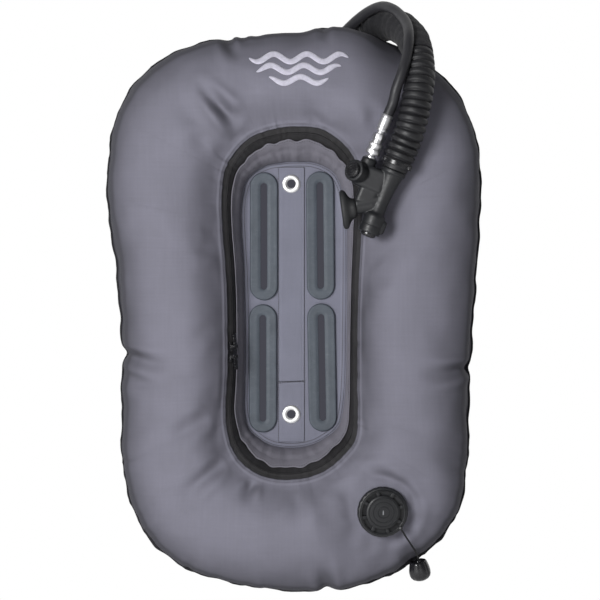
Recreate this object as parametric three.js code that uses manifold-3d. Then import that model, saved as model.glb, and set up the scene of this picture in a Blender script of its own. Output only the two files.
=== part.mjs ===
// Buoyancy compensator wing: a ring-shaped air cell in a zipped fabric shell, with a slotted centre panel,
// a corrugated inflator hose on an elbow, a power inflator, and a pull dump valve.
//
// Millimetres. -Y is the front, the side that faces the diver. +X is to the right from the front. +Z is up.
// The origin is midway between the two bolt eyelets, on the rear face of the centre panel.

import * as THREE from "three";
import { mergeVertices } from "three/addons/utils/BufferGeometryUtils.js";
import Module from "manifold-3d";

const { degToRad } = THREE.MathUtils;
const wasm = await Module();
wasm.setup();

// ---------------------------------------------------------------- driving dimensions

const EYELET_SPACING = 279.4; // 11 inches, the standard backplate bolt spacing
const HALF_DEPTH = 60; // half the thickness of the inflated ring, front to back
const CLOTH = 1.2; // shell fabric
const GAP = 0.3; // clearance between neighbouring pieces
const SEAM_WIDTH = 4.5; // seam allowance that stands out round the outer edge
const RING_STEPS = 38; // sections round the ring

const PLY = 0.9; // one ply of the centre panel
const STIFFENER = 1.2;
const PANEL_HALF = STIFFENER / 2 + GAP + PLY; // half the centre panel's thickness
const PANEL_LAP = 2.5; // how far the shell laps over the centre panel's edge
const LAP_FACE = PANEL_HALF + GAP; // depth at which the shell's lap starts

const ZIP_BAND = 14.6; // tape and chain that show between shell and gusset
const ZIP_TAPE = 1;
const COIL_WIDTH = 2.5;
const COIL_HEIGHT = 2.2;
const TAPE_HIDDEN = 6; // tape that runs under the cloth

const BLADDER_DEPTH = 3.6; // from the shell's outside to the bladder's outside
const BLADDER_WALL = 1;
const BLADDER_SIDES = 10;
const PORT_HOLE = 16; // radius of the holes in shell and bladder for the two fittings

const PAD = { width: 34, length: 156, slotWidth: 8.6, slotLength: 130, front: 4, back: 2.5 };
const STRIP = { halfWidth: 15.5, top: 157, seam: -100, bottom: -170.5, thickness: 1, rearHalf: 118 };
const EYELET = { bore: 5.35, barrel: 6.2, flange: 11.35, washer: 10.5 };

const HOSE = { outer: 17.5, bore: 13 }; // corrugated hose
const LP_HOSE = { outer: 5.8, bore: 2.6 }; // low-pressure hose
const INFLATOR_TILT = degToRad(22.3);
const INFLATOR_TOP = new THREE.Vector3(129, -79, 168); // end of the hose, on the barrel's axis
const LP_OFFSET = 32; // from the barrel's axis to the low-pressure connector's axis

// Stations round the ring, clockwise from the top: where each section meets the outer and the inner seam,
// as [outer x, outer z, inner x, inner z].
const STATIONS = [
  [5, 321.5, 2, 166],
  [66, 327, 26, 165],
  [128, 305, 46.5, 156.5],
  [177, 274.5, 58, 142],
  [208, 236, 64, 120],
  [226, 180, 67, 95],
  [228.5, 120, 67.5, 60],
  [224, 40, 67.5, 10],
  [218, -45, 67, -45],
  [214, -120, 66, -95],
  [212.5, -190, 63, -132],
  [201, -256, 56.5, -154.5],
  [165, -304, 38, -170],
  [100, -341.5, 18, -178],
  [20, -354, -4, -180],
  [-70, -343.5, -24, -177],
  [-138, -319, -40, -168],
  [-181, -273, -53, -154.5],
  [-202, -205, -58, -128],
  [-204, -125, -57, -85],
  [-204.5, -50, -57, -35],
  [-211, 40, -58, 25],
  [-221, 110, -61, 78],
  [-220, 170, -61, 115],
  [-207, 228, -55, 142],
  [-170, 276, -44, 154.5],
  [-112, 306, -29, 162],
  [-50, 316, -12, 165],
];

// Centres of the corrugated hose, from the elbow over the top edge and down to the inflator.
const HOSE_PATH = [
  [61, 93, 286],
  [74, 90, 304],
  [92, 74, 321],
  [113, 48, 333],
  [131, 20, 331],
  [145, -14, 317],
  [152, -43, 298],
  [154.5, -61, 276],
  [153, -72, 254],
  [148.5, -78, 227],
  [142, -80, 201],
];

// Centres of the low-pressure hose, from its end fitting behind the wing, round a loop and over the top edge.
const LP_HOSE_PATH = [
  [113, 74, 296],
  [112.4, 73, 280],
  [111, 71, 262],
  [98, 69, 222],
  [68, 69, 192],
  [30, 69, 193],
  [6, 71, 228],
  [5, 74, 272],
  [24, 76, 306],
  [52, 68, 328],
  [80, 50, 343],
  [97, 36, 351],
  [110, 20, 355],
  [122, 2, 352],
  [132, -15, 343],
  [138.5, -34, 331],
  [139, -57, 315],
  [137, -71, 293],
  [132, -80, 275],
  [126, -82, 254],
];

// ---------------------------------------------------------------- materials

function cloth(color, roughness = 0.85) {
  return new THREE.MeshStandardMaterial({ color, roughness, metalness: 0 });
}

function metal(color, roughness = 0.2) {
  return new THREE.MeshStandardMaterial({ color, roughness, metalness: 1 });
}

const MATERIALS = {
  shell: cloth(0x74747f),
  gusset: cloth(0x56565e),
  panel: cloth(0x7c7e8a),
  binding: cloth(0x2a2a2e),
  zip: cloth(0x222325, 0.7),
  bladder: cloth(0x9aa0a6, 0.5),
  stiffener: cloth(0x2c2c2e, 0.6),
  pad: cloth(0x59656d, 0.6),
  steel: metal(0xe6e6e6, 0.18),
  chrome: metal(0xf0f0f0, 0.08),
  plastic: cloth(0x232427, 0.45),
  rubber: cloth(0x2a2b2c, 0.65),
  seal: cloth(0x303234, 0.6),
  cord: cloth(0x2a2a2c, 0.9),
};

// ---------------------------------------------------------------- geometry helpers

const UP = new THREE.Vector3(0, 0, 1);
const SIDEWAYS = new THREE.Vector3(1, 0, 0);
const FULL = 2 * Math.PI;

function point([x, y, z]) {
  return new THREE.Vector3(x, y, z);
}

// A closed geometry as a manifold-3d solid.
function toSolid(geometry) {
  const bare = (geometry.index ? geometry.toNonIndexed() : geometry.clone())
    .deleteAttribute("normal")
    .deleteAttribute("uv");
  const merged = mergeVertices(bare, 1e-4);
  return new wasm.Manifold(
    new wasm.Mesh({
      numProp: 3,
      vertProperties: merged.attributes.position.array,
      triVerts: new Uint32Array(merged.index.array),
    }),
  );
}

function toGeometry(solid) {
  const mesh = solid.getMesh();
  return new THREE.BufferGeometry()
    .setAttribute("position", new THREE.BufferAttribute(mesh.vertProperties, 3))
    .setIndex(new THREE.BufferAttribute(mesh.triVerts, 1));
}

function joined(...geometries) {
  return toGeometry(geometries.map(toSolid).reduce((all, next) => all.add(next)));
}

function cut(geometry, ...tools) {
  return toGeometry(tools.map(toSolid).reduce((rest, tool) => rest.subtract(tool), toSolid(geometry)));
}

// A solid of revolution about Z. The profile is a closed outline of [radius, z] points, anticlockwise when
// the radius runs to the right.
function turned(profile, segments = 20) {
  const points = profile.map(([radius, z]) => new THREE.Vector2(radius, z));
  const solidCore = profile[0][0] === 0 && profile.at(-1)[0] === 0;
  if (!solidCore) points.push(points[0].clone());
  return new THREE.LatheGeometry(points, segments).rotateX(Math.PI / 2);
}

function disc(radius, low, high, segments = 20) {
  return turned([[0, low], [radius, low], [radius, high], [0, high]], segments);
}

function ring(inner, outer, low, high, segments = 20) {
  return turned([[inner, low], [outer, low], [outer, high], [inner, high]], segments);
}

// A round rod from one point to another.
function rod(from, to, radius, segments = 16) {
  const along = to.clone().sub(from);
  return disc(radius, 0, along.length(), segments)
    .applyQuaternion(new THREE.Quaternion().setFromUnitVectors(UP, along.normalize()))
    .translate(from.x, from.y, from.z);
}

function circleShape(radius, hole) {
  const shape = new THREE.Shape().absarc(0, 0, radius, 0, 2 * Math.PI, false);
  if (hole) shape.holes.push(new THREE.Path().absarc(0, 0, hole, 0, 2 * Math.PI, true));
  return shape;
}

// A tube, or a solid round bar when hole is 0, along a curve.
function tube(curve, radius, hole, steps, sides) {
  return new THREE.ExtrudeGeometry(circleShape(radius, hole), {
    steps,
    curveSegments: sides,
    extrudePath: curve,
  });
}

// A flat plate whose outline is drawn in x and z, between two depths in y.
function plate(shape, front, back) {
  return new THREE.ExtrudeGeometry(shape, { depth: back - front, bevelEnabled: false, curveSegments: 6 })
    .rotateX(Math.PI / 2)
    .translate(0, back, 0);
}

// An outline with round ends, standing along its length.
function stadium(path, x, y, width, length) {
  const radius = width / 2;
  const half = length / 2 - radius;
  return path
    .absarc(x, y + half, radius, 0, Math.PI, false)
    .absarc(x, y - half, radius, Math.PI, 2 * Math.PI, false)
    .closePath();
}

class Helix extends THREE.Curve {
  constructor(radius, low, high, turns) {
    super();
    Object.assign(this, { radius, low, high, turns });
  }
  getPoint(t, target = new THREE.Vector3()) {
    const angle = 2 * Math.PI * this.turns * t;
    return target.set(
      this.radius * Math.cos(angle),
      this.radius * Math.sin(angle),
      this.low + (this.high - this.low) * t,
    );
  }
}

function spring(radius, wire, low, high, turns) {
  return tube(new Helix(radius, low + wire, high - wire, turns), wire, 0, turns * 8, 2);
}

// ---------------------------------------------------------------- the ring's surface

const outerSeam = new THREE.CatmullRomCurve3(
  STATIONS.map(([x, z]) => new THREE.Vector3(x, 0, z)),
  true,
  "catmullrom",
);
const innerSeam = new THREE.CatmullRomCurve3(
  STATIONS.map(([, , x, z]) => new THREE.Vector3(x, 0, z)),
  true,
  "catmullrom",
);

// The cross-section at u, 0 to 1 round the ring: its centre, its outward direction and its half width.
function section(u) {
  const inner = innerSeam.getPoint(u);
  const outward = outerSeam.getPoint(u).sub(inner);
  const radius = (outward.length() - SEAM_WIDTH) / 2;
  outward.normalize();
  return { centre: inner.addScaledVector(outward, radius), outward, radius };
}

// A point of a cross-section from its place along the outward direction and its depth.
function placed({ centre, outward }, along, depth) {
  const at = centre.clone().addScaledVector(outward, along);
  at.y = depth;
  return at;
}

// The point at angle v of the section at u, raised by a height over the surface.
// v is 0 at the outer seam, a quarter turn at the front, a half turn at the inner seam.
function onRing(part, v, raised = 0) {
  return placed(part, (part.radius + raised) * Math.cos(v), -(HALF_DEPTH + raised) * Math.sin(v));
}

function arc(part, from, to, raised, steps) {
  return Array.from({ length: steps + 1 }, (_, i) => onRing(part, from + ((to - from) * i) / steps, raised));
}

// The angle reached by going a distance along the surface from an angle.
function goneOn(part, v, distance) {
  const pace = Math.hypot(part.radius * Math.sin(v), HALF_DEPTH * Math.cos(v));
  return v + distance / pace;
}

// The angle, from a seam, at which the ring's surface reaches a depth.
function angleAt(depth) {
  return Math.asin(depth / HALF_DEPTH);
}

// Points at distances from the front cloth's edge at the zip, towards the inner seam.
function fromZip(part, distances, raised) {
  return distances.map((distance) => onRing(part, goneOn(part, zipAngle(part), distance), raised));
}

// Where the front cloth ends at the zip, which runs nearer the front at the top and bottom than at the sides.
function zipAngle({ outward }) {
  const bearing = Math.atan2(outward.x, outward.z);
  const degrees = 130.6 - 10.4 * Math.cos(2 * bearing) - 3.25 * Math.cos(bearing) + 5 * Math.sin(bearing);
  return degToRad(degrees);
}

// A band that runs once round the ring. The profile gives each section's outline, outer face first.
function band(profile) {
  const rows = Array.from({ length: RING_STEPS }, (_, i) => profile(section(i / RING_STEPS)));
  const count = rows[0].length;
  const index = [];
  for (let i = 0; i < RING_STEPS; i++) {
    const here = i * count;
    const next = ((i + 1) % RING_STEPS) * count;
    for (let j = 0; j < count; j++) {
      const k = (j + 1) % count;
      index.push(here + j, here + k, next + j, here + k, next + k, next + j);
    }
  }
  return new THREE.BufferGeometry().setFromPoints(rows.flat()).setIndex(index);
}

// A strip on the ring through distances from the zip edge, between two heights over the surface.
function zipBand(distances, low, high) {
  return band((part) => [...fromZip(part, distances, high), ...fromZip(part, distances.toReversed(), low)]);
}

// Position and axes of a fitting that sits on the ring: z outward, y as near to up as it can be.
function ringFrame(u, v) {
  const part = section(u);
  const normal = part.outward.clone().multiplyScalar(Math.cos(v) / part.radius);
  normal.y = -Math.sin(v) / HALF_DEPTH;
  return frameAt(onRing(part, v), normal.normalize(), UP);
}

function frameAt(position, normal, upward) {
  const across = upward.clone().cross(normal).normalize();
  const along = normal.clone().cross(across);
  return new THREE.Matrix4().makeBasis(across, along, normal).setPosition(position);
}

// ---------------------------------------------------------------- assembly helpers

const assembly = new THREE.Group();
const wing = new THREE.Group();
wing.position.y = -PANEL_HALF - GAP - STRIP.thickness; // the rear strip's face lies at y = 0
assembly.add(wing);

function add(parent, name, geometry, material) {
  const mesh = new THREE.Mesh(geometry, MATERIALS[material]);
  mesh.name = name;
  parent.add(mesh);
  return mesh;
}

function groupAt(matrix) {
  const group = new THREE.Group();
  matrix.decompose(group.position, group.quaternion, group.scale);
  wing.add(group);
  return group;
}

// ---------------------------------------------------------------- shell, bladder and binding

const DUMP_FRAME = ringFrame(0.4336, degToRad(75.8)); // lower right of the front
const PORT_FRAME = ringFrame(0.032, degToRad(285)); // top of the back

// A round hole through a wall at a fitting's place.
function portHole(matrix) {
  return disc(PORT_HOLE, -16, 8, 16).applyMatrix4(matrix);
}

function makeShell() {
  const seamTip = SEAM_WIDTH - CLOTH;
  const front = band((part) => {
    const overTape = goneOn(part, zipAngle(part), -TAPE_HIDDEN);
    return [
      placed(part, part.radius + seamTip, -GAP - CLOTH),
      ...arc(part, angleAt(GAP + CLOTH), overTape, 0, 5),
      ...fromZip(part, [0], 0),
      ...fromZip(part, [0], -CLOTH),
      ...arc(part, overTape, angleAt(GAP), -CLOTH, 5),
      placed(part, part.radius + seamTip, -GAP),
    ];
  });
  const outerFace = [Math.PI + angleAt(LAP_FACE + CLOTH), FULL - angleAt(GAP + CLOTH)];
  const innerFace = [FULL - angleAt(GAP), Math.PI + angleAt(LAP_FACE)];
  const back = band((part) => [
    placed(part, -part.radius - PANEL_LAP, LAP_FACE + CLOTH),
    ...arc(part, ...outerFace, 0, 6),
    placed(part, part.radius + seamTip, GAP + CLOTH),
    placed(part, part.radius + seamTip, GAP),
    ...arc(part, ...innerFace, -CLOTH, 6),
    placed(part, -part.radius - PANEL_LAP, LAP_FACE),
  ]);
  add(wing, "shell_front", cut(front, portHole(DUMP_FRAME)), "shell");
  add(wing, "shell_back", cut(back, portHole(PORT_FRAME)), "shell");
}

function makeBladder() {
  const wall = (depth) => band((part) => arc(part, 0, FULL, -depth, BLADDER_SIDES).slice(0, -1));
  const outside = wall(BLADDER_DEPTH);
  const inside = wall(BLADDER_DEPTH + BLADDER_WALL);
  add(wing, "bladder", cut(outside, inside, portHole(DUMP_FRAME), portHole(PORT_FRAME)), "bladder");
}

function makeEdgeBinding() {
  const clear = GAP * 2 + CLOTH; // half the gap that the two seam allowances fill
  const wall = 1.2;
  const start = 1.2;
  const tip = SEAM_WIDTH - CLOTH + GAP;
  const outline = [
    [start, clear + wall],
    [tip + wall, clear + wall],
    [tip + wall, -clear - wall],
    [start, -clear - wall],
    [start, -clear],
    [tip, -clear],
    [tip, clear],
    [start, clear],
  ];
  const binding = band((part) => outline.map(([out, y]) => placed(part, part.radius + out, y)));
  add(wing, "edge_binding", binding, "binding");
}

// ---------------------------------------------------------------- zip and inner wall

const CHAIN_MIDDLE = ZIP_BAND / 2;

function makeZip() {
  const halfGap = GAP / 2;
  const tapeTop = -CLOTH - GAP;
  const coilBase = tapeTop + GAP;
  const near = CHAIN_MIDDLE - halfGap;
  const far = CHAIN_MIDDLE + halfGap;
  const tape = (distances) => zipBand(distances, tapeTop - ZIP_TAPE, tapeTop);
  const coil = (distances) => zipBand(distances, coilBase, coilBase + COIL_HEIGHT);
  add(wing, "zip_tape_outer", tape([-TAPE_HIDDEN, 0, near]), "zip");
  add(wing, "zip_tape_inner", tape([far, ZIP_BAND, ZIP_BAND + TAPE_HIDDEN]), "zip");
  add(wing, "zip_coil_outer", coil([near - COIL_WIDTH, near]), "zip");
  add(wing, "zip_coil_inner", coil([far, far + COIL_WIDTH]), "zip");
}

function makeInnerGusset() {
  const gusset = band((part) => {
    const overTape = goneOn(part, zipAngle(part), ZIP_BAND + TAPE_HIDDEN);
    return [
      ...fromZip(part, [ZIP_BAND], 0),
      ...arc(part, overTape, Math.PI - angleAt(LAP_FACE + CLOTH), 0, 2),
      placed(part, -part.radius - PANEL_LAP, -LAP_FACE - CLOTH),
      placed(part, -part.radius - PANEL_LAP, -LAP_FACE),
      ...arc(part, Math.PI - angleAt(LAP_FACE), overTape, -CLOTH, 2),
      ...fromZip(part, [ZIP_BAND], -CLOTH),
    ];
  });
  add(wing, "inner_gusset", gusset, "gusset");
}

// Position and axes on the zip's chain: y along the chain, upward on the left side, and z out of the cloth.
function chainFrame(u) {
  const at = (place) => {
    const part = section(place);
    return onRing(part, goneOn(part, zipAngle(part), CHAIN_MIDDLE), 0);
  };
  const part = section(u);
  const v = goneOn(part, zipAngle(part), CHAIN_MIDDLE);
  const normal = part.outward.clone().multiplyScalar(Math.cos(v) / part.radius);
  normal.y = -Math.sin(v) / HALF_DEPTH;
  return frameAt(at(u), normal.normalize(), at(u + 0.02).sub(at(u - 0.02)).normalize());
}

const SLIDER = { length: 11.5, wide: 6, narrow: 5.2, channel: 4.2, roof: 1.4, clear: 1, base: 0.8 };
const PULL = { length: 16, tab: 11.4, width: 5.6, thickness: 1.4, rise: 2.3 };

// A zip slider rides over the chain. "away" is 1 for the upper one and -1 for the lower one, along the chain.
function makeSlider(name, u, away) {
  const chainTop = COIL_HEIGHT - CLOTH;
  const roofLow = chainTop + SLIDER.clear;
  const roofHigh = roofLow + SLIDER.roof;
  const half = SLIDER.length / 2;
  const outline = new THREE.Shape()
    .moveTo(-SLIDER.wide, away * half)
    .lineTo(-SLIDER.narrow, -away * half)
    .lineTo(SLIDER.narrow, -away * half)
    .lineTo(SLIDER.wide, away * half)
    .closePath();
  const base = SLIDER.base - CLOTH;
  const block = new THREE.ExtrudeGeometry(outline, { depth: roofHigh - base, bevelEnabled: false });
  const channel = new THREE.BoxGeometry(2 * SLIDER.channel, 2 * SLIDER.length, 2 * (roofLow + CLOTH));
  const body = cut(block.translate(0, 0, base), channel.translate(0, 0, -CLOTH));
  const hingeHeight = roofHigh + PULL.rise;
  const post = (side) => new THREE.BoxGeometry(1.2, 4, 4.4).translate(side * 3.1, 0, roofHigh + 1.4);
  const pin = rod(point([-3.4, 0, hingeHeight]), point([3.4, 0, hingeHeight]), 0.8, 8);
  const group = groupAt(chainFrame(u));
  add(group, `zip_slider_${name}`, joined(body, post(1), post(-1), pin), "zip");
  add(group, `zip_pull_${name}`, makePull(away, hingeHeight), "zip");
}

// A pull tab hooked on the slider's pin, lying along the chain.
function makePull(away, height) {
  const low = height - PULL.thickness / 2;
  const end = away * PULL.length;
  const eye = rod(point([-2.1, 0, height]), point([2.1, 0, height]), 2, 10);
  const neck = new THREE.BoxGeometry(4.2, 5, PULL.thickness).translate(0, away * 3.6, height);
  const tab = new THREE.ExtrudeGeometry(stadium(new THREE.Shape(), 0, 0, PULL.width, PULL.tab), {
    depth: PULL.thickness,
    bevelEnabled: false,
    curveSegments: 6,
  }).translate(0, end - away * PULL.tab / 2, low);
  const bore = rod(point([-4, 0, height]), point([4, 0, height]), 1.15, 8);
  return cut(joined(eye, neck, tab), bore);
}

// ---------------------------------------------------------------- centre panel

const SLOTS = [
  { name: "upper_left", x: -33.2, z: 76, tilt: 0 },
  { name: "upper_right", x: 35.2, z: 77, tilt: 0.5 },
  { name: "lower_left", x: -34.4, z: -84, tilt: 0 },
  { name: "lower_right", x: 37.2, z: -83, tilt: 1 },
];
const EYELETS = [
  { name: "upper", z: EYELET_SPACING / 2 },
  { name: "lower", z: -EYELET_SPACING / 2 },
];

// The inner seam's outline in x and z, moved in from the seam.
function panelOutline(inset) {
  const points = Array.from({ length: RING_STEPS }, (_, i) => {
    const { centre, outward, radius } = section(i / RING_STEPS);
    const at = centre.clone().addScaledVector(outward, -radius - inset);
    return new THREE.Vector2(at.x, at.z);
  });
  return new THREE.Shape(points);
}

// The corners of a round-ended outline in a slot's place.
function stadiumAt(slot, width, length, fineness) {
  const turn = degToRad(slot.tilt);
  return stadium(new THREE.Path(), 0, 0, width, length)
    .getPoints(fineness)
    .slice(0, -1)
    .map((p) => p.rotateAround(new THREE.Vector2(), turn).add(new THREE.Vector2(slot.x, slot.z)));
}

function slotPath(slot, width, length) {
  return new THREE.Path(stadiumAt(slot, width, length, 3));
}

function withHoles(shape, holes) {
  shape.holes.push(...holes);
  return shape;
}

function eyeletHole({ z }, radius) {
  return new THREE.Path().absarc(0, z, radius, 0, 2 * Math.PI, false);
}

function makeCentrePanel() {
  const opening = () => [
    ...SLOTS.map((slot) => slotPath(slot, PAD.slotWidth + 4, PAD.slotLength + 4)),
    ...EYELETS.map((eyelet) => eyeletHole(eyelet, EYELET.barrel + GAP)),
  ];
  const cutPlate = (inset, front, back) => plate(withHoles(panelOutline(inset), opening()), front, back);
  const half = STIFFENER / 2;
  add(wing, "center_panel_front", cutPlate(0.6, -PANEL_HALF, -half - GAP), "panel");
  add(wing, "center_stiffener", cutPlate(3, -half, half), "stiffener");
  add(wing, "center_panel_back", cutPlate(0.6, half + GAP, PANEL_HALF), "panel");

  const low = -PANEL_HALF - GAP;
  const high = PANEL_HALF + GAP;
  const stripShape = (top, bottom) =>
    new THREE.Shape()
      .moveTo(-STRIP.halfWidth, bottom)
      .lineTo(STRIP.halfWidth, bottom)
      .lineTo(STRIP.halfWidth, top)
      .lineTo(-STRIP.halfWidth, top)
      .closePath();
  const strip = (top, bottom, eyelet) => {
    const shape = withHoles(stripShape(top, bottom), [eyeletHole(eyelet, EYELET.barrel + GAP)]);
    return plate(shape, low - STRIP.thickness, low);
  };
  const rear = plate(stripShape(STRIP.rearHalf, -STRIP.rearHalf), high, high + STRIP.thickness);
  add(wing, "center_strip", strip(STRIP.top, STRIP.seam + GAP, EYELETS[0]), "panel");
  add(wing, "center_strip_tail", strip(STRIP.seam - GAP, STRIP.bottom, EYELETS[1]), "panel");
  add(wing, "center_strip_back", rear, "panel");
}

function makeSlotPads() {
  const shapeOf = (slot) => {
    const outline = new THREE.Shape(stadiumAt(slot, PAD.width, PAD.length, 5));
    return withHoles(outline, [slotPath(slot, PAD.slotWidth, PAD.slotLength)]);
  };
  const face = PANEL_HALF + GAP;
  for (const slot of SLOTS) {
    add(wing, `slot_pad_front_${slot.name}`, plate(shapeOf(slot), -face - PAD.front, -face), "pad");
    add(wing, `slot_pad_back_${slot.name}`, plate(shapeOf(slot), face, face + PAD.back), "pad");
  }
}

// Each eyelet is a flanged barrel through the panel, rolled over a washer at the back. Local Z is frontward.
function makeEyelets() {
  const seat = PANEL_HALF + 2 * GAP + STRIP.thickness;
  const back = PANEL_HALF + GAP;
  for (const eyelet of EYELETS) {
    const group = groupAt(frameAt(new THREE.Vector3(0, 0, eyelet.z), new THREE.Vector3(0, -1, 0), UP));
    const shape = turned([
      [EYELET.bore, -back - 2.2],
      [EYELET.barrel + 1.6, -back - 2.2],
      [EYELET.barrel + 1.6, -back - 1.2],
      [EYELET.barrel, -back - 1.2],
      [EYELET.barrel, seat],
      [EYELET.flange, seat],
      [EYELET.flange - 0.7, seat + 1.1],
      [EYELET.bore, seat + 0.5],
    ], 16);
    add(group, `eyelet_${eyelet.name}`, shape, "steel");
    const washer = ring(EYELET.barrel + GAP, EYELET.washer, -back - 0.9, -back, 16);
    add(group, `eyelet_washer_${eyelet.name}`, washer, "steel");
  }
}

// ---------------------------------------------------------------- fittings on the bladder

const SPIGOT = { outer: 15, inner: 12.5, lip: 8.5, flange: 20, low: -13.5, flangeTop: -12, top: 6 };
const NUT_INNER = SPIGOT.outer + 2 * GAP; // leaves room for the flats of the faceted thread

// A flange inside the bladder with a threaded spigot out through its hole. With a seat height given, a lip
// inside the bore carries the valve's seal.
function spigot(seatTop) {
  const lip = [
    [SPIGOT.inner, seatTop],
    [SPIGOT.lip, seatTop],
    [SPIGOT.lip, seatTop - 1.6],
    [SPIGOT.inner, seatTop - 3],
  ];
  return turned([
    ...(seatTop === undefined ? [] : lip),
    [SPIGOT.inner, SPIGOT.low],
    [SPIGOT.flange, SPIGOT.low],
    [SPIGOT.flange, SPIGOT.flangeTop],
    [SPIGOT.outer, SPIGOT.flangeTop],
    [SPIGOT.outer, SPIGOT.top],
    [SPIGOT.inner, SPIGOT.top],
  ], 16);
}

// A grip ring with notches round its edge.
function notched(geometry, radius, count, size, low, high) {
  const tools = Array.from({ length: count }, (_, i) => {
    const angle = (2 * Math.PI * i) / count;
    return disc(size, low, high, 8).translate(radius * Math.cos(angle), radius * Math.sin(angle), 0);
  });
  return cut(geometry, ...tools);
}

const DUMP = { housing: 29.5, housingTop: 8, cap: 20.5, capTop: 13 };

function makeDumpValve() {
  const group = groupAt(DUMP_FRAME);
  const seat = -2.4;
  add(group, "dump_base", spigot(seat), "plastic");
  add(group, "dump_gasket", ring(NUT_INNER + 0.5, 22, 0.4, 1.5, 16), "seal");
  const housing = turned([
    [NUT_INNER, 1.8],
    [DUMP.housing - 3, 1.8],
    [DUMP.housing, 3.2],
    [DUMP.housing - 0.6, 5],
    [DUMP.housing - 4, DUMP.housingTop],
    [NUT_INNER, DUMP.housingTop],
  ], 20);
  add(group, "dump_housing", housing, "plastic");
  const cap = turned([
    [0, DUMP.capTop - 2.4],
    [14.4, DUMP.capTop - 2.4],
    [14.4, DUMP.housingTop + GAP],
    [DUMP.cap, DUMP.housingTop + GAP],
    [DUMP.cap, DUMP.capTop - 2.6],
    [DUMP.cap - 2.4, DUMP.capTop],
    [0, DUMP.capTop],
  ], 20);
  add(group, "dump_cap", notched(cap, DUMP.cap, 6, 3, 0, 20), "plastic");

  const poppet = turned([
    [0, seat + 1.6],
    [11.8, seat + 1.6],
    [11.8, seat + 2.8],
    [2, seat + 2.8],
    [2, 5.5],
    [0, 5.5],
  ], 12);
  add(group, "dump_poppet", poppet, "plastic");
  add(group, "dump_seal", ring(5, 11.8, seat + GAP, seat + 1.3, 12), "seal");
  add(group, "dump_spring", spring(7, 0.6, seat + 3.1, DUMP.capTop - 2.7, 3), "steel");
}

// The pull cord runs from the cap over the ring's edge to the knob.
const CORD_PATH = [
  [131.5, -66, -276],
  [137.5, -58, -285.5],
  [146, -43, -299],
  [152.5, -24, -310],
  [156, -9, -317.5],
];
const KNOB = { at: [156.2, -7, -330.5], radius: 13 };

function makeDumpPull() {
  const cord = new THREE.CatmullRomCurve3(CORD_PATH.map(point));
  add(wing, "dump_cord", tube(cord, 1.1, 0, 8, 3), "cord");
  const r = KNOB.radius;
  const knob = turned([
    [0, -r],
    [r * 0.55, -r * 0.9],
    [r * 0.9, -r * 0.5],
    [r, 0],
    [r * 0.86, r * 0.42],
    [r * 0.5, r * 0.68],
    [r * 0.3, r * 0.86],
    [0, r * 0.86],
  ], 14);
  add(wing, "dump_knob", knob, "plastic").position.copy(point(KNOB.at));
}

const ELBOW = { flange: 19.5, tube: 13.5, bore: 9.5, rise: 36, barb: 10.8, reach: 8 };

function makePort() {
  const group = groupAt(PORT_FRAME);
  add(group, "port_base", spigot(), "plastic");
  add(group, "port_gasket", ring(NUT_INNER + 0.5, 22, 0.4, 1.5, 16), "seal");
  const nut = turned([
    [NUT_INNER, 1.8],
    [25, 1.8],
    [26, 3.5],
    [26, 9],
    [24.6, 10.4],
    [20.4, 10.4],
    [20.4, SPIGOT.top + GAP],
    [NUT_INNER, SPIGOT.top + GAP],
  ], 16);
  add(group, "elbow_nut", notched(nut, 27, 6, 2.6, 0, 14), "plastic");
}

// The elbow leaves the port along its axis and turns into the hose.
function makeElbow() {
  const foot = new THREE.Vector3().setFromMatrixPosition(PORT_FRAME);
  const normal = new THREE.Vector3().setFromMatrixColumn(PORT_FRAME, 2);
  const corner = foot.clone().addScaledVector(normal, ELBOW.rise);
  const hoseStart = hoseCurve.getPointAt(0);
  const out = hoseStart.clone().sub(corner).normalize();
  const tubeEnd = hoseStart.clone().addScaledVector(out, -4);
  const barbEnd = hoseStart.clone().addScaledVector(hoseCurve.getTangentAt(0), ELBOW.reach);
  const from = (height) => foot.clone().addScaledVector(normal, height);
  const ball = (radius, sides) =>
    new THREE.SphereGeometry(radius, sides, sides / 2).translate(corner.x, corner.y, corner.z);
  const body = joined(
    disc(ELBOW.flange, SPIGOT.top + GAP, SPIGOT.top + GAP + 3, 16).applyMatrix4(PORT_FRAME),
    rod(from(SPIGOT.top + 2), corner, ELBOW.tube, 14),
    ball(ELBOW.tube, 12),
    rod(corner, tubeEnd, ELBOW.tube, 14),
    rod(corner, barbEnd, ELBOW.barb, 12),
  );
  const elbow = cut(
    body,
    rod(from(0), corner, ELBOW.bore, 10),
    ball(ELBOW.bore, 10),
    rod(corner, barbEnd.addScaledVector(out, 6), ELBOW.bore - 1, 10),
  );
  add(wing, "elbow", elbow, "plastic");
}

// ---------------------------------------------------------------- hoses

// A direction and a place in the inflator's own frame, given in the wing's frame.
const inflatorAxes = new THREE.Matrix4().makeRotationY(INFLATOR_TILT).setPosition(INFLATOR_TOP);
function fromInflator(x, y, z) {
  return new THREE.Vector3(x, y, z).applyMatrix4(inflatorAxes);
}

const CUFF_END = -14; // the hose's lower end, on the inflator's barb
const FERRULE = { low: 23, high: 44, bore: 6.2, outer: 7.1, sides: 12 };
const hoseCurve = new THREE.CatmullRomCurve3([
  ...HOSE_PATH.map(point),
  fromInflator(0, 0, 16),
  fromInflator(0, 0, CUFF_END),
]);
const lpCurve = new THREE.CatmullRomCurve3([
  ...LP_HOSE_PATH.map(point),
  fromInflator(-LP_OFFSET, 0, FERRULE.high + 16),
  fromInflator(-LP_OFFSET, 0, FERRULE.high + 2),
  fromInflator(-LP_OFFSET, 0, FERRULE.low + 2),
]);

// A clip that goes round the hose at a distance t along it.
function hoseClamp(t, inner, outer, width) {
  const place = frameAt(hoseCurve.getPointAt(t), hoseCurve.getTangentAt(t), SIDEWAYS);
  return ring(inner, outer, -width / 2, width / 2, 16).applyMatrix4(place);
}

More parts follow.
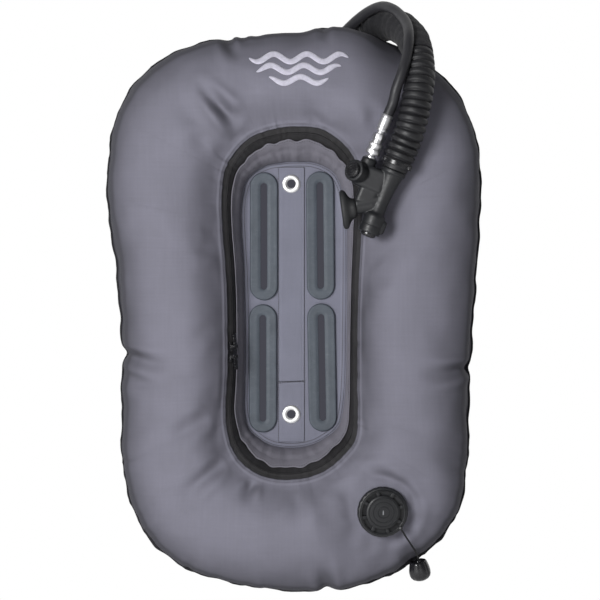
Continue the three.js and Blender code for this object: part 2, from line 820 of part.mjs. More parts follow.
function makeHoses() {
  add(wing, "corrugated_hose", tube(hoseCurve, HOSE.outer, HOSE.bore, 24, 5), "rubber");
  add(wing, "elbow_clamp", hoseClamp(0.03, HOSE.outer + 1, HOSE.outer + 2.4, 9), "steel");
  add(wing, "lp_hose", tube(lpCurve, LP_HOSE.outer, LP_HOSE.bore, 44, 3), "rubber");

  const group = groupAt(frameAt(lpCurve.getPointAt(0), lpCurve.getTangentAt(0).negate(), SIDEWAYS));
  add(group, "lp_end_ferrule", ring(FERRULE.bore, FERRULE.outer, -15, -0.5, FERRULE.sides), "chrome");
  const hex = turned([[0, GAP], [8.4, GAP], [8.4, 9], [0, 9]], 6);
  const stud = turned([[0, 8], [4.7, 8], [4.7, 17], [4, 18], [0, 18]], 14);
  add(group, "lp_end_fitting", cut(joined(hex, stud), disc(1.8, -2, 20, 8)), "chrome");
}

// ---------------------------------------------------------------- inflator
// Local frame: the barrel runs down local -Z from the hose, the connector and mouthpiece are on the -X side,
// and -Y faces the front.

const BARREL = { barb: 11.5, shoulder: 15.5, top: 13.6, waist: 9.2, end: 13.2 };
const BARREL_AT = { waist: -52, end: -72, bottom: -96 };
const BUTTON = { collar: 13.2, cavity: 9.9, radius: 9.5, proud: 4 };
const DEFLATE = { cavity: 10.2, radius: 9.8, proud: 4.5 };
const ORAL = { from: [-6, 0, -63], to: [-33, 0, -78.5], radius: 8.2, bore: 5.5 };
const BUTTON_AXIS = new THREE.Vector3(-0.6, -0.8, 0);
const BUTTON_FACE = new THREE.Vector3(-45.5, -15.5, -33);
const NIPPLE_FOOT = -11.7;

// A push button with a chamfered rim, sunk below and proud above its collar's face.
function buttonCap(radius, sunk, proud) {
  const shoulder = proud - 1;
  return turned([[0, -sunk], [radius, -sunk], [radius, shoulder], [radius - 1, proud], [0, proud]]);
}

function makeInflator() {
  const group = groupAt(inflatorAxes);
  const buttonFrame = frameAt(BUTTON_FACE, BUTTON_AXIS, UP);
  add(group, "inflator_body", inflatorBody(buttonFrame), "plastic");
  add(group, "inflator_clamp", ring(HOSE.outer + 0.5, HOSE.outer + 1.9, -8.5, -3.5, 20), "plastic");

  const button = new THREE.Group();
  buttonFrame.decompose(button.position, button.quaternion, button.scale);
  group.add(button);
  add(button, "inflate_button", buttonCap(BUTTON.radius, 4, BUTTON.proud), "plastic");
  add(button, "inflate_spring", spring(6, 0.5, -8.7, -4.2, 2), "steel");

  const deflate = new THREE.Group();
  deflate.position.z = BARREL_AT.bottom;
  deflate.rotation.x = Math.PI;
  group.add(deflate);
  add(deflate, "deflate_button", buttonCap(DEFLATE.radius, 5, DEFLATE.proud), "plastic");
  add(deflate, "deflate_spring", spring(6, 0.5, -11.7, -5.2, 2), "steel");

  makeMouthpiece(group);
  makeConnector(group);
}

function inflatorBody(buttonFrame) {
  const barrel = turned([
    [0, BARREL_AT.bottom],
    [BARREL.end, BARREL_AT.bottom],
    [BARREL.end, BARREL_AT.end],
    [BARREL.waist, BARREL_AT.end + 1.5],
    [BARREL.waist, BARREL_AT.waist],
    [BARREL.top, -20],
    [BARREL.shoulder, -19],
    [BARREL.shoulder, CUFF_END - GAP],
    [BARREL.barb, CUFF_END - GAP],
    [BARREL.barb, 9],
    [0, 9],
  ], 20);
  const block = new THREE.BoxGeometry(38, 20, 30).translate(-24, 0, -34);
  const boss = disc(9, -22, NIPPLE_FOOT - GAP, 16).translate(-LP_OFFSET, 0, 0);
  const collar = disc(BUTTON.collar, -17, 0, 20).applyMatrix4(buttonFrame);
  const oral = rod(point(ORAL.from), point(ORAL.to), ORAL.radius, 16);
  const body = joined(barrel, block, boss, collar, oral);
  return cut(
    body,
    disc(6.5, -80, 20, 12),
    disc(DEFLATE.cavity, BARREL_AT.bottom - 1, BARREL_AT.bottom + 12, 18),
    disc(BUTTON.cavity, -9, 1, 18).applyMatrix4(buttonFrame),
    disc(4.2, -30, 0, 10).translate(-LP_OFFSET, 0, 0),
    rod(point([0, 0, -59.5]), point([-40, 0, -82.5]), ORAL.bore, 12),
  );
}

// A rubber sleeve on the oral tube with an oval lip flange.
function makeMouthpiece(group) {
  const axis = point(ORAL.to).sub(point(ORAL.from)).normalize();
  const mouth = new THREE.Group();
  const frame = frameAt(point(ORAL.to), axis, UP);
  frame.decompose(mouth.position, mouth.quaternion, mouth.scale);
  group.add(mouth);
  const oval = disc(1, 3.2, 8.2, 20).scale(12.5, 23, 1);
  const sleeve = disc(ORAL.radius + 2.4, -9, 4.5, 16);
  add(mouth, "mouthpiece", cut(
    joined(sleeve, oval),
    disc(ORAL.radius + GAP, -10, 0.4, 16),
    disc(1, 0, 12, 12).scale(5, 9, 1),
  ), "rubber");
}

// The quick-disconnect: the inflator's nipple, the coupler with its hexagon, its sliding sleeve, and the
// hose's ferrule.
function makeConnector(group) {
  const connector = new THREE.Group();
  connector.position.x = -LP_OFFSET;
  group.add(connector);
  const nipple = [
    [1.6, -19],
    [3.9, -19],
    [3.9, NIPPLE_FOOT],
    [6.4, NIPPLE_FOOT],
    [6.4, -9.4],
    [4, -8.6],
    [4, -4],
    [4.5, -3],
    [4.5, 4],
    [1.6, 4],
  ];
  add(connector, "qd_nipple", turned(nipple, 10), "chrome");
  const coupler = joined(
    turned([[4.8, -7], [6.3, -7], [6.3, 12], [4.8, 12]], 14),
    turned([[0, 11.5], [7.5, 11.5], [7.5, 19.5], [0, 19.5]], 6),
    disc(5, 19, FERRULE.low - GAP, 14),
  );
  add(connector, "qd_coupler", cut(coupler, disc(1.8, 0, 30, 8)), "chrome");
  const sleeve = [
    [6.6, -6.4],
    [8, -6.4],
    [8.6, -5.4],
    [8.6, -1.5],
    [7.8, -0.6],
    [7.8, 2.5],
    [8.6, 3.4],
    [8.6, 6.4],
    [7.8, 7.4],
    [6.6, 7.4],
  ];
  add(connector, "qd_sleeve", turned(sleeve, 14), "chrome");
  const ferrule = ring(FERRULE.bore, FERRULE.outer, FERRULE.low, FERRULE.high, FERRULE.sides);
  add(connector, "lp_ferrule", ferrule, "chrome");
}

// ---------------------------------------------------------------- the whole wing

makeShell();
makeBladder();
makeEdgeBinding();
makeZip();
makeInnerGusset();
makeSlider("upper", 0.7004, 1);
makeSlider("lower", 0.6918, -1);
makeCentrePanel();
makeSlotPads();
makeEyelets();
makeDumpValve();
makeDumpPull();
makePort();
makeElbow();
makeHoses();
makeInflator();

export default assembly;
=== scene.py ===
"""Looks for a ring-shaped buoyancy compensator wing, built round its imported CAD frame.

The soft pieces are new meshes on the ring's own surface: a cloth simulation inflates the shell, and
seams, gathers and creases are worked in afterwards. The hard pieces are turned, swept and remeshed.
Metres throughout; -Y is the front, +X is right from the front, +Z is up. Tables are in millimetres.
"""

import math

import bmesh
import bpy
import numpy as np
from mathutils import Matrix, Vector, noise
from mathutils.bvhtree import BVHTree


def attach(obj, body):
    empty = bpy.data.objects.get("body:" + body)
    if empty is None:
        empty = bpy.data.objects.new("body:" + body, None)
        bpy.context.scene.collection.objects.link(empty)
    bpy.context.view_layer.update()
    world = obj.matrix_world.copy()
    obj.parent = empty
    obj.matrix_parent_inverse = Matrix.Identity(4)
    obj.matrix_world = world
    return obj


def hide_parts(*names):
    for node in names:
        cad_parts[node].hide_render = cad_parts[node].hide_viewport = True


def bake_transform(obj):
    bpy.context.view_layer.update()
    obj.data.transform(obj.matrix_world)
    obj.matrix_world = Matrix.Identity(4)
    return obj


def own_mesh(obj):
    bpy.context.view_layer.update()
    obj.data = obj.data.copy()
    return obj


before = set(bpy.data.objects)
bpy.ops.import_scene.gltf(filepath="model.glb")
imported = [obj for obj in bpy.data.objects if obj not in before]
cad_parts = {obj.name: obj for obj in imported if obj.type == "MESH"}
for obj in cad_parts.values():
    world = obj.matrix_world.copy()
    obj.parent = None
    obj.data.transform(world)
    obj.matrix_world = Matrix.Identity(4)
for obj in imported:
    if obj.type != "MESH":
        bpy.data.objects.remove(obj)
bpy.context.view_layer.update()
CHANCE = np.random.default_rng(7)

MM = 0.001
PI, TAU = math.pi, 2 * math.pi

# ---------------------------------------------------------------- sizes shared with the CAD frame

MID_PLANE = -3.1 * MM  # depth of the ring's own middle
MIDDLE = np.array((0, MID_PLANE, 0))
HALF_DEPTH = 60 * MM
SEAM_WIDTH = 4.5 * MM
ZIP_BAND = 14.6 * MM
PANEL_FRONT, PANEL_BACK = MID_PLANE - 1.8 * MM, MID_PLANE + 1.8 * MM
SHELL_CLOTH, GUSSET_CLOTH, PANEL_CLOTH = 1.0 * MM, 0.8 * MM, 0.8 * MM  # thicknesses
ZIP_CLOTH, STRAP_CLOTH, EMBROIDERY = 0.7 * MM, 0.6 * MM, 0.5 * MM
HEM = 7.5 * MM

# Stations round the ring, clockwise from the top: outer seam x, z and inner seam x, z, how far the
# zip is sewn in past its nominal line, how much further the gusset starts, how far the seam bulges.
STATIONS = np.array([
    (5, 321.5, 2, 166, 0, 4, 1.5), (66, 327, 26, 165, 1, 4.5, 1.5),
    (128, 305, 46.5, 156.5, 2, 5.5, 1.5), (177, 274.5, 58, 142, 1, 2.5, 1.5),
    (208, 236, 64, 120, 1, 2.4, 1.5), (226, 180, 67, 95, 1.2, 2.2, 1.5),
    (228.5, 120, 67.5, 60, 1.2, 2.2, 1.5), (224, 40, 67.5, 10, 1.2, 2.2, 1.5),
    (218, -45, 67, -45, 0.2, 2.2, 1.5), (214, -120, 66, -95, -1.5, 2.2, 1.8),
    (212.5, -190, 63, -132, -4.5, 3, 2), (201, -256, 56.5, -154.5, -6, 4.5, 2),
    (165, -304, 38, -170, -6, 5, 1.5), (100, -341.5, 18, -178, -3.5, 3.2, 1),
    (20, -354, -4, -180, -0.5, 2.6, 1), (-70, -343.5, -24, -177, 0.5, 3.6, 1),
    (-138, -319, -40, -168, 1, 7.5, 1.5), (-181, -273, -53, -154.5, 3, 6.5, 2.5),
    (-202, -205, -58, -128, 1.5, 3, 2.2), (-204, -125, -57, -85, 1, 2.5, 2),
    (-204.5, -50, -57, -35, 0.6, 2.5, 2), (-211, 40, -58, 25, 1.5, 2.5, 2),
    (-221, 110, -61, 78, 2.6, 2.2, 2), (-220, 170, -61, 115, 2.6, 2.5, 2),
    (-207, 228, -55, 142, 3.2, 4, 2.5), (-170, 276, -44, 154.5, 4.5, 6, 4.5),
    (-112, 306, -29, 162, 3, 5.5, 4.5), (-50, 316, -12, 165, 1.2, 4.2, 2.5),
]) * MM

# Places where the outer seam is drawn in: x, z, depth and width.
SEAM_NOTCHES = np.array([
    (-76, 309, 4.5, 9), (214, -83, 3, 6), (-203, -66, 7, 8), (43, -352, 4.5, 9), (-40, 318, 2.5, 7)
]) * MM

# Creases of the front: path in x and z, depth and width.
CREASES = [
    ([(-104, 252), (-88, 235), (-73, 220), (-58, 211)], 7.5, 8.0),
    ([(-130, 236), (-112, 205), (-100, 165)], 2.2, 13.0),
    ([(-99, 200), (-110, 190), (-118, 176)], 1.8, 9.0),
    ([(-206, -62), (-188, -69), (-164, -77), (-140, -80)], 5.0, 7.0),
    ([(-206, -72), (-180, -96), (-150, -108)], 2.2, 8.0),
    ([(-100, -140), (-112, -147), (-137, -164), (-150, -180)], 3.6, 9.0),
    ([(-80, -196), (-92, -205), (-118, -226), (-132, -246)], 4.2, 8.0),
    ([(-44, -218), (-51, -230), (-60, -246)], 3.6, 6.0),
    ([(218, -81), (200, -85), (175, -90), (150, -91)], 4.6, 7.0),
    ([(84, -205), (104, -212), (126, -221)], 3.4, 8.0),
    ([(90, 232), (100, 218), (104, 196)], 2.4, 8.0),
    ([(96, 30), (112, 26), (138, 28)], 1.4, 9.0),
    ([(-92, 64), (-108, 60), (-130, 62)], 1.6, 9.0),
    ([(-94, -36), (-112, -42), (-130, -52)], 1.8, 9.0),
    ([(20, 232), (30, 215), (34, 204)], 1.6, 7.0),
    ([(4, -236), (8, -256), (4, -280)], 1.8, 9.0),
    ([(44, -352), (40, -335), (32, -310)], 4.0, 7.0),
    ([(-75, 312), (-70, 296), (-60, 280)], 4.0, 6.5),
    ([(-58, 316), (-56, 302), (-52, 292)], 2.2, 5.0),
    ([(40, 326), (38, 312), (34, 300)], 2.2, 5.5),
    ([(62, -232), (70, -246), (90, -286)], 1.8, 9.0),
]

DUMP_AT = np.array((109.516, -61.267, -255.686)) * MM
PORT_AT = np.array((45.636, 54.856, 264.720)) * MM
SLOTS = {  # x, z and tilt in degrees
    "upper_left": (-33.2, 76, 0),
    "upper_right": (35.2, 77, 0.5),
    "lower_left": (-34.4, -84, 0),
    "lower_right": (37.2, -83, 1),
}
EYELET_HEIGHTS = {"upper": 139.7, "lower": -139.7}
HOSE_PATH = [
    (61, 93, 286), (70, 90, 311), (90, 74, 325), (113, 48, 334), (131, 20, 331), (145, -14, 317),
    (152, -43, 298), (154.5, -61, 276), (153, -72, 254), (148.5, -78, 227), (142, -80, 201),
]
LP_PATH = [
    (113, 74, 296), (112.4, 73.5, 280), (111, 73, 262), (98, 73, 222), (68, 74, 192),
    (30, 73.5, 193), (6, 74.5, 228), (5, 76, 272), (24, 77, 302), (56, 68, 319), (80, 50, 340),
    (96, 36, 351), (110, 20, 355.5), (122, 2, 352), (132.5, -15, 343), (139.5, -34, 331),
    (141.5, -57, 315), (139, -71, 293), (133.5, -80, 273), (126, -82, 252),
]
CORD_PATH = [(131.5, -66, -276), (137.5, -60, -285.5), (145.5, -47, -298), (152, -29, -309),
             (154, -9, -317.5)]
# The lines in x and z that the inflator with its hose, and the dump cord, lie along.
INFLATOR_LINE = [(60, 108), (93, 80), (129, 168), (150, 215), (153, 262), (140, 300)]
CORD_LINE = [(131.5, -276), (156, -340)]
KNOB_AT = np.array((155.4, -10.1, -328.5)) * MM
EMBLEM_AT = (9.0, 277.0)
SIM_COLUMNS, SIM_ROWS, SIM_FRAMES = 220, 52, 20

# ---------------------------------------------------------------- small tools


def link(obj):
    bpy.context.scene.collection.objects.link(obj)
    return obj


def piece(obj, slot, *nodes, body="wing"):
    """Puts a finished piece on its body and hides the CAD nodes it stands for. The slot is not
    used.
    """
    if nodes:
        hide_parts(*nodes)
    if body:
        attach(obj, body)
    return obj


def shaded(obj, sharp=None):
    """Smooth shading, with edges sharper than an angle in degrees kept sharp."""
    obj.data.shade_smooth()
    if sharp:
        obj.data.set_sharp_from_angle(angle=math.radians(sharp))
    return obj


def mesh_object(name, vertices, faces, material, sharp=40, uv=None):
    mesh = bpy.data.meshes.new(name)
    mesh.from_pydata(np.reshape(vertices, (-1, 3)).tolist(), [], [tuple(f) for f in faces])
    if uv is not None:
        uv = np.reshape(uv, (-1, 2))
        flat = np.array([uv[i] for face in faces for i in face], np.float32)
        mesh.uv_layers.new(name="UVMap").data.foreach_set("uv", flat.ravel())
    mesh.materials.append(MATERIALS[material])
    return link(shaded(bpy.data.objects.new(name, mesh), sharp))


def grid_faces(rows, columns, close_rows=False, close_columns=False):
    faces = []
    for i in range(rows if close_rows else rows - 1):
        a, b = i * columns, ((i + 1) % rows) * columns
        for j in range(columns if close_columns else columns - 1):
            k = (j + 1) % columns
            faces.append((a + j, a + k, b + k, b + j))
    return faces


def lofted(name, points, material, sharp, uv=None, tube=True):
    """A ring of cloth from a grid of points, closed on itself, and also across if it is a tube."""
    faces = grid_faces(*points.shape[:2], True, tube)
    obj = mesh_object(name, points, faces, material, sharp, uv)
    return outward(obj) if tube else point_faces_out(obj)


def unit(v):
    v = np.asarray(v, float)
    return v / np.maximum(np.linalg.norm(v, axis=-1, keepdims=True), 1e-12)


def smooth_step(t):
    t = np.clip(t, 0, 1)
    return t * t * (3 - 2 * t)


def bump_at(distance, width):
    return np.exp(-((distance / width) ** 2))


def catmull_rom(points, at, closed=False):
    """Points of a Catmull-Rom curve at parameters 0 to 1."""
    points = np.asarray(points, float)
    count = len(points)
    place = np.asarray(at, float) * (count if closed else count - 1)
    k = np.floor(place).astype(int)
    if closed:
        a, b, c, d = (points[(k + i) % count] for i in (-1, 0, 1, 2))
    else:
        k = np.minimum(k, count - 2)
        padded = np.vstack([2 * points[0] - points[1], points, 2 * points[-1] - points[-2]])
        a, b, c, d = (padded[k + i] for i in (0, 1, 2, 3))
    t = (place - k)[:, None]
    curve = (c - a) * t + (2 * a - 5 * b + 4 * c - d) * t**2 + (3 * b - a - 3 * c + d) * t**3
    return 0.5 * (2 * b + curve)


def run_of(path):
    """Distance along a path at each of its points."""
    return np.concatenate([[0], np.cumsum(np.linalg.norm(np.diff(path, axis=0), axis=1))])


def in_space(plane, y):
    """Points from their x and z and a depth."""
    return np.stack([plane[..., 0], np.broadcast_to(y, plane.shape[:-1]), plane[..., 1]], axis=-1)


def pairs(u, v):
    return np.stack(np.broadcast_arrays(u, v), axis=-1)


def read_off(stops, run, values):
    return np.stack([np.interp(stops, run, column) for column in np.transpose(values)], axis=1)


def even_path(points, spacing):
    """The curve through the points, resampled evenly, and the distance along it."""
    fine = catmull_rom(points, np.linspace(0, 1, 40 * len(points)))
    run = run_of(fine)
    stops = np.linspace(0, run[-1], max(2, int(round(run[-1] / spacing)) + 1))
    return read_off(stops, run, fine), stops


def edit_mesh(obj, change):
    """Runs a change on an object's mesh."""
    b = bmesh.new()
    b.from_mesh(obj.data)
    change(b)
    b.to_mesh(obj.data)
    b.free()
    return obj


def outward(obj):
    """Turns the faces of a closed mesh to face out."""
    return edit_mesh(obj, lambda b: bmesh.ops.recalc_face_normals(b, faces=b.faces))


def point_faces_out(obj, toward=None):
    """Flips an open cloth's faces if they look to the inside of the ring."""
    lean = 0
    for face in obj.data.polygons:
        lean += face.normal[1] * (toward or face.center[1] - MID_PLANE)
    if lean < 0:
        obj.data.flip_normals()
    return obj


def sweep(name, path, radii, material, sides=24, run=None, sharp=50):
    """A round body along a path of points and radii. Vertices keep their distance along it."""
    radii = np.broadcast_to(np.asarray(radii, float), len(path))
    tangents = unit(np.gradient(path, axis=0))
    normals = [unit(np.cross(tangents[0], (0.3, -1, 0.2)))]
    for t in tangents[1:]:
        normals.append(unit(normals[-1] - t * np.dot(normals[-1], t)))
    normals = np.array(normals)
    turn = np.arange(sides) * TAU / sides
    spokes = np.cos(turn)[:, None] * normals[:, None]
    spokes = spokes + np.sin(turn)[:, None] * np.cross(tangents, normals)[:, None]
    faces = grid_faces(len(path), sides, close_columns=True)
    faces.append(tuple(range(sides)))
    faces.append(tuple(reversed(range((len(path) - 1) * sides, len(path) * sides))))
    run = run_of(path) if run is None else run
    vertices = path[:, None] + radii[:, None, None] * spokes
    uv = pairs(run[:, None], turn * radii[:, None])
    obj = mesh_object(name, vertices, faces, material, sharp, uv)
    along = obj.data.attributes.new("along", "FLOAT", "POINT")
    along.data.foreach_set("value", np.repeat(run, sides).astype(np.float32))
    return outward(obj)


def turned(name, profile, place, material="plastic", segments=64, shape=None):
    """A body turned about local Z from radii and heights. shape(angle, radius) changes a radius."""
    vertices, faces, rings = [], [], []
    angles = [TAU * i / segments for i in range(segments)]
    for radius, height in profile:
        if radius == 0:
            rings.append([len(vertices)] * segments)
            vertices.append((0, 0, height * MM))
            continue
        rings.append(list(range(len(vertices), len(vertices) + segments)))
        for angle in angles:
            r = (shape(angle, radius) if shape else radius) * MM
            vertices.append((r * math.cos(angle), r * math.sin(angle), height * MM))
    closed = not (profile[0][0] == 0 and profile[-1][0] == 0)
    for i in range(len(rings) if closed else len(rings) - 1):
        a, b = rings[i], rings[(i + 1) % len(rings)]
        for j in range(segments):
            k = (j + 1) % segments
            corners = list(dict.fromkeys((a[j], a[k], b[k], b[j])))
            if len(corners) > 2:
                faces.append(corners)
    obj = mesh_object(name, vertices, faces, material, 35)
    obj.data.transform(place)
    return outward(obj)


def joined(name, *objects):
    """One object made of several."""
    chosen = list(objects)
    with bpy.context.temp_override(
        active_object=objects[0], selected_objects=chosen, selected_editable_objects=chosen
    ):
        bpy.ops.object.join()
    objects[0].name = name
    return objects[0]


def modified(obj, kind, **settings):
    """Adds a modifier with its settings and applies it."""
    modifier = obj.modifiers.new(kind.lower(), kind)
    for key, value in settings.items():
        setattr(modifier, key, value)
    with bpy.context.temp_override(active_object=obj, object=obj, selected_objects=[obj]):
        bpy.ops.object.modifier_apply(modifier=modifier.name)
    return obj


def moulded(name, voxel, rounds, *objects):
    """Several bodies fused into one moulding with soft inner corners."""
    settings = {"mode": "VOXEL", "voxel_size": voxel, "use_smooth_shade": True}
    obj = modified(joined(name, *objects), "REMESH", **settings)
    return shaded(modified(obj, "SMOOTH", factor=0.5, iterations=rounds))


def bevelled(obj, width, segments=2, angle=35):
    limits = {"limit_method": "ANGLE", "angle_limit": math.radians(angle), "harden_normals": False}
    return shaded(modified(obj, "BEVEL", width=width, segments=segments, **limits), 45)


def carved(obj, *cutters):
    """Takes cutters out of a body."""
    for cutter in cutters:
        modified(obj, "BOOLEAN", operation="DIFFERENCE", solver="EXACT", object=cutter)
        bpy.data.objects.remove(cutter)
    return shaded(obj, 42)


def solid_cloth(obj, thickness):
    """Gives an open cloth its thickness, inward."""
    return shaded(modified(obj, "SOLIDIFY", thickness=thickness, offset=-1))


def place_of(position, normal, upward=(0, 0, 1)):
    """A frame with local Z along normal and local Y as near to upward as it can be."""
    z = Vector(normal).normalized()
    x = Vector(upward).cross(z).normalized()
    m = Matrix((x, z.cross(x), z)).transposed().to_4x4()
    m.translation = Vector(position)
    return m


def placed(points, place):
    """Points in millimetres in a local frame, as points of the scene."""
    m = np.array(place)
    return (np.asarray(points, float) * MM) @ m[:3, :3].T + m[:3, 3]


def moved(*by):
    """A shift in millimetres."""
    return Matrix.Translation(Vector(by) * MM)


def spun(angle, axis="Z"):
    return Matrix.Rotation(angle, 4, axis)


def block(size, middle, *places, material="plastic", edge=2.0, segments=4):
    """A rounded box, size and middle in millimetres, put through local frames in turn."""
    bpy.ops.mesh.primitive_cube_add(size=1)
    obj = bpy.context.object
    obj.data.materials.append(MATERIALS[material])
    for step in (Matrix.Diagonal([s * MM for s in size] + [1]), moved(*middle), *places):
        obj.data.transform(step)
    return bevelled(obj, edge * MM, segments)


def drum(radius, low, high, place, material="plastic", segments=64):
    profile = [(0, low), (radius, low), (radius, high), (0, high)]
    return turned("drum", profile, place, material, segments)


# ---------------------------------------------------------------- materials


class Recipe:
    """The nodes of a material or of the world, under construction."""

    def __init__(self, owner):
        owner.use_nodes = True
        self.owner, self.tree = owner, owner.node_tree
        self.shader = self.tree.nodes.get("Principled BSDF") or self.tree.nodes["Background"]

    def node(self, kind, *inputs, out=0, **settings):
        made = self.tree.nodes.new(kind)
        for key, value in settings.items():
            if key in made.inputs:
                self.put(made.inputs[key], value)
            else:
                setattr(made, key, value)
        for socket, value in zip(made.inputs, inputs):
            if value is not None:
                self.put(socket, value)
        return made.outputs[out]

    def put(self, socket, value):
        if isinstance(value, bpy.types.NodeSocket):
            self.tree.links.new(value, socket)
        else:
            socket.default_value = value

    def maths(self, operation, a, b=None):
        return self.node("ShaderNodeMath", a, b, operation=operation)

    def add(self, a, b):
        return self.maths("ADD", a, b)

    def times(self, a, b):
        return self.maths("MULTIPLY", a, b)

    def ridge(self, value):
        return self.maths("ABSOLUTE", self.maths("SINE", value))

    def range(self, value, low, high, to_low, to_high):
        return self.node("ShaderNodeMapRange", value, low, high, to_low, to_high)

    def noise(self, vector, scale, detail=3, roughness=0.5):
        settings = {"Vector": vector, "Scale": scale, "Detail": detail, "Roughness": roughness}
        return self.node("ShaderNodeTexNoise", out="Fac", **settings)

    def stretched(self, vector, x, y, z=1):
        return self.node("ShaderNodeMapping", vector, Scale=(x, y, z))

    def place(self, kind="Object"):
        return self.node("ShaderNodeTexCoord", out=kind)

    def part(self, vector, axis):
        return self.node("ShaderNodeSeparateXYZ", vector, out=axis)

    def shade(self, color, amount):
        """A colour made lighter or darker by a factor."""
        grey = self.node("ShaderNodeCombineColor", amount, amount, amount)
        settings = {"data_type": "RGBA", "blend_type": "MULTIPLY", "Factor": 1}
        return self.node("ShaderNodeMix", out="Result", **settings, A=color, B=grey)

    def set(self, **values):
        for key, value in values.items():
            self.put(self.shader.inputs[key.replace("_", " ")], value)

    def bump(self, height, distance):
        settings = {"Strength": 1.0, "Distance": distance, "Height": height}
        self.set(Normal=self.node("ShaderNodeBump", **settings))


def material(name):
    return Recipe(bpy.data.materials.new(name))


def srgb(r, g, b):
    """A linear colour from 0-255 screen values."""
    linear = (((v / 255 + 0.055) / 1.055) ** 2.4 if v > 10 else v / 3294 for v in (r, g, b))
    return (*linear, 1)


def woven(
    name, color, pitch=0.9 * MM, relief=0.12 * MM, roughness=0.78, slubs=0.1, sheen=0.0, painted_slope_shade=0.0,
    patchy=0.06,
):
    """Woven cloth on a UV map in metres: over-and-under threads, uneven yarn, cloudy wear."""
    m = material(name)
    uv = m.place("UV")
    ridges = [m.ridge(m.times(m.part(uv, axis), PI / pitch)) for axis in ("X", "Y")]
    over = m.node("ShaderNodeTexChecker", uv, (1, 1, 1, 1), (0, 0, 0, 1), 1 / pitch)
    weave = m.add(m.times(ridges[0], over), m.times(ridges[1], m.maths("SUBTRACT", 1.0, over)))
    yarn = m.add(m.noise(m.stretched(uv, 420, 14), 1, 2), m.noise(m.stretched(uv, 14, 420), 1, 2))
    cloud = m.noise(m.place(), 22, 4)
    tone = m.range(yarn, 0.7, 1.3, 1 - slubs, 1 + slubs)
    tone = m.add(tone, m.range(cloud, 0.3, 0.7, -patchy, patchy))
    tone = m.times(tone, m.range(weave, 0, 1, 0.86, 1.06))
    if painted_slope_shade:  # painted shade: the cloth's colour darkens where it turns away from the camera, standing in for the shade on its slopes
        facing = m.node("ShaderNodeLayerWeight", Blend=0.5, out="Facing")
        tone = m.times(tone, m.range(facing, 0, 0.5, 1, 1 - painted_slope_shade))
    rough = m.range(cloud, 0.3, 0.7, roughness - 0.06, roughness + 0.06)
    m.set(Base_Color=m.shade(color, tone), Roughness=rough, Specular_IOR_Level=0.35)
    m.set(Sheen_Weight=sheen, Sheen_Roughness=0.45)
    m.bump(m.add(weave, m.times(yarn, 0.5)), relief)
    return m.owner


def moulding(name, color, roughness=0.42, grain=0.03 * MM, coat=0.0):
    """Moulded plastic or rubber: fine grain, soft flow marks, rubbed patches."""
    m = material(name)
    spot = m.place()
    fine = m.noise(spot, 2600, 2)
    flow = m.noise(spot, 60, 5, 0.6)
    rubbed = m.noise(m.stretched(spot, 1, 1, 3), 180, 4, 0.65)
    tone = m.add(m.range(flow, 0.3, 0.7, 0.88, 1.12), m.range(rubbed, 0.58, 0.72, 0, 0.22))
    rough = m.range(rubbed, 0.35, 0.7, roughness + 0.08, roughness - 0.08)
    m.set(Base_Color=m.shade(color, tone), Roughness=rough, Specular_IOR_Level=0.5)
    m.set(Coat_Weight=coat, Coat_Roughness=0.15)
    m.bump(m.add(fine, m.times(flow, 2)), grain)
    return m.owner


def polished(name, color, roughness=0.12, brushing=0.0):
    """Bright metal with fine turning marks and faint smears."""
    m = material(name)
    spot = m.place()
    smear = m.noise(spot, 90, 4, 0.6)
    scratch = m.noise(m.stretched(spot, 900, 900, 60), 1, 3)
    m.set(Base_Color=m.shade(color, m.range(smear, 0.3, 0.7, 0.9, 1.04)), Metallic=1.0)
    m.set(Roughness=m.range(smear, 0.3, 0.7, roughness, roughness + 0.12))
    m.bump(scratch, (0.004 + 0.03 * brushing) * MM)
    return m.owner


def thread_like(name, color, pitch, relief=0.15 * MM, shine=0.35):
    """Satin stitches that run across a strip, on a UV map in metres."""
    m = material(name)
    uv = m.place("UV")
    wander = m.times(m.noise(m.stretched(uv, 60, 60), 1, 2), pitch)
    lines = m.ridge(m.times(m.add(m.part(uv, "X"), wander), PI / pitch))
    worn = m.range(m.noise(uv, 240, 3), 0.3, 0.7, 0.9, 1.08)
    tone = m.times(m.range(lines, 0, 1, 0.72, 1.05), worn)
    m.set(Base_Color=m.shade(color, tone), Roughness=1 - shine)
    m.set(Sheen_Weight=0.3, Specular_IOR_Level=0.6)
    m.bump(lines, relief)
    return m.owner


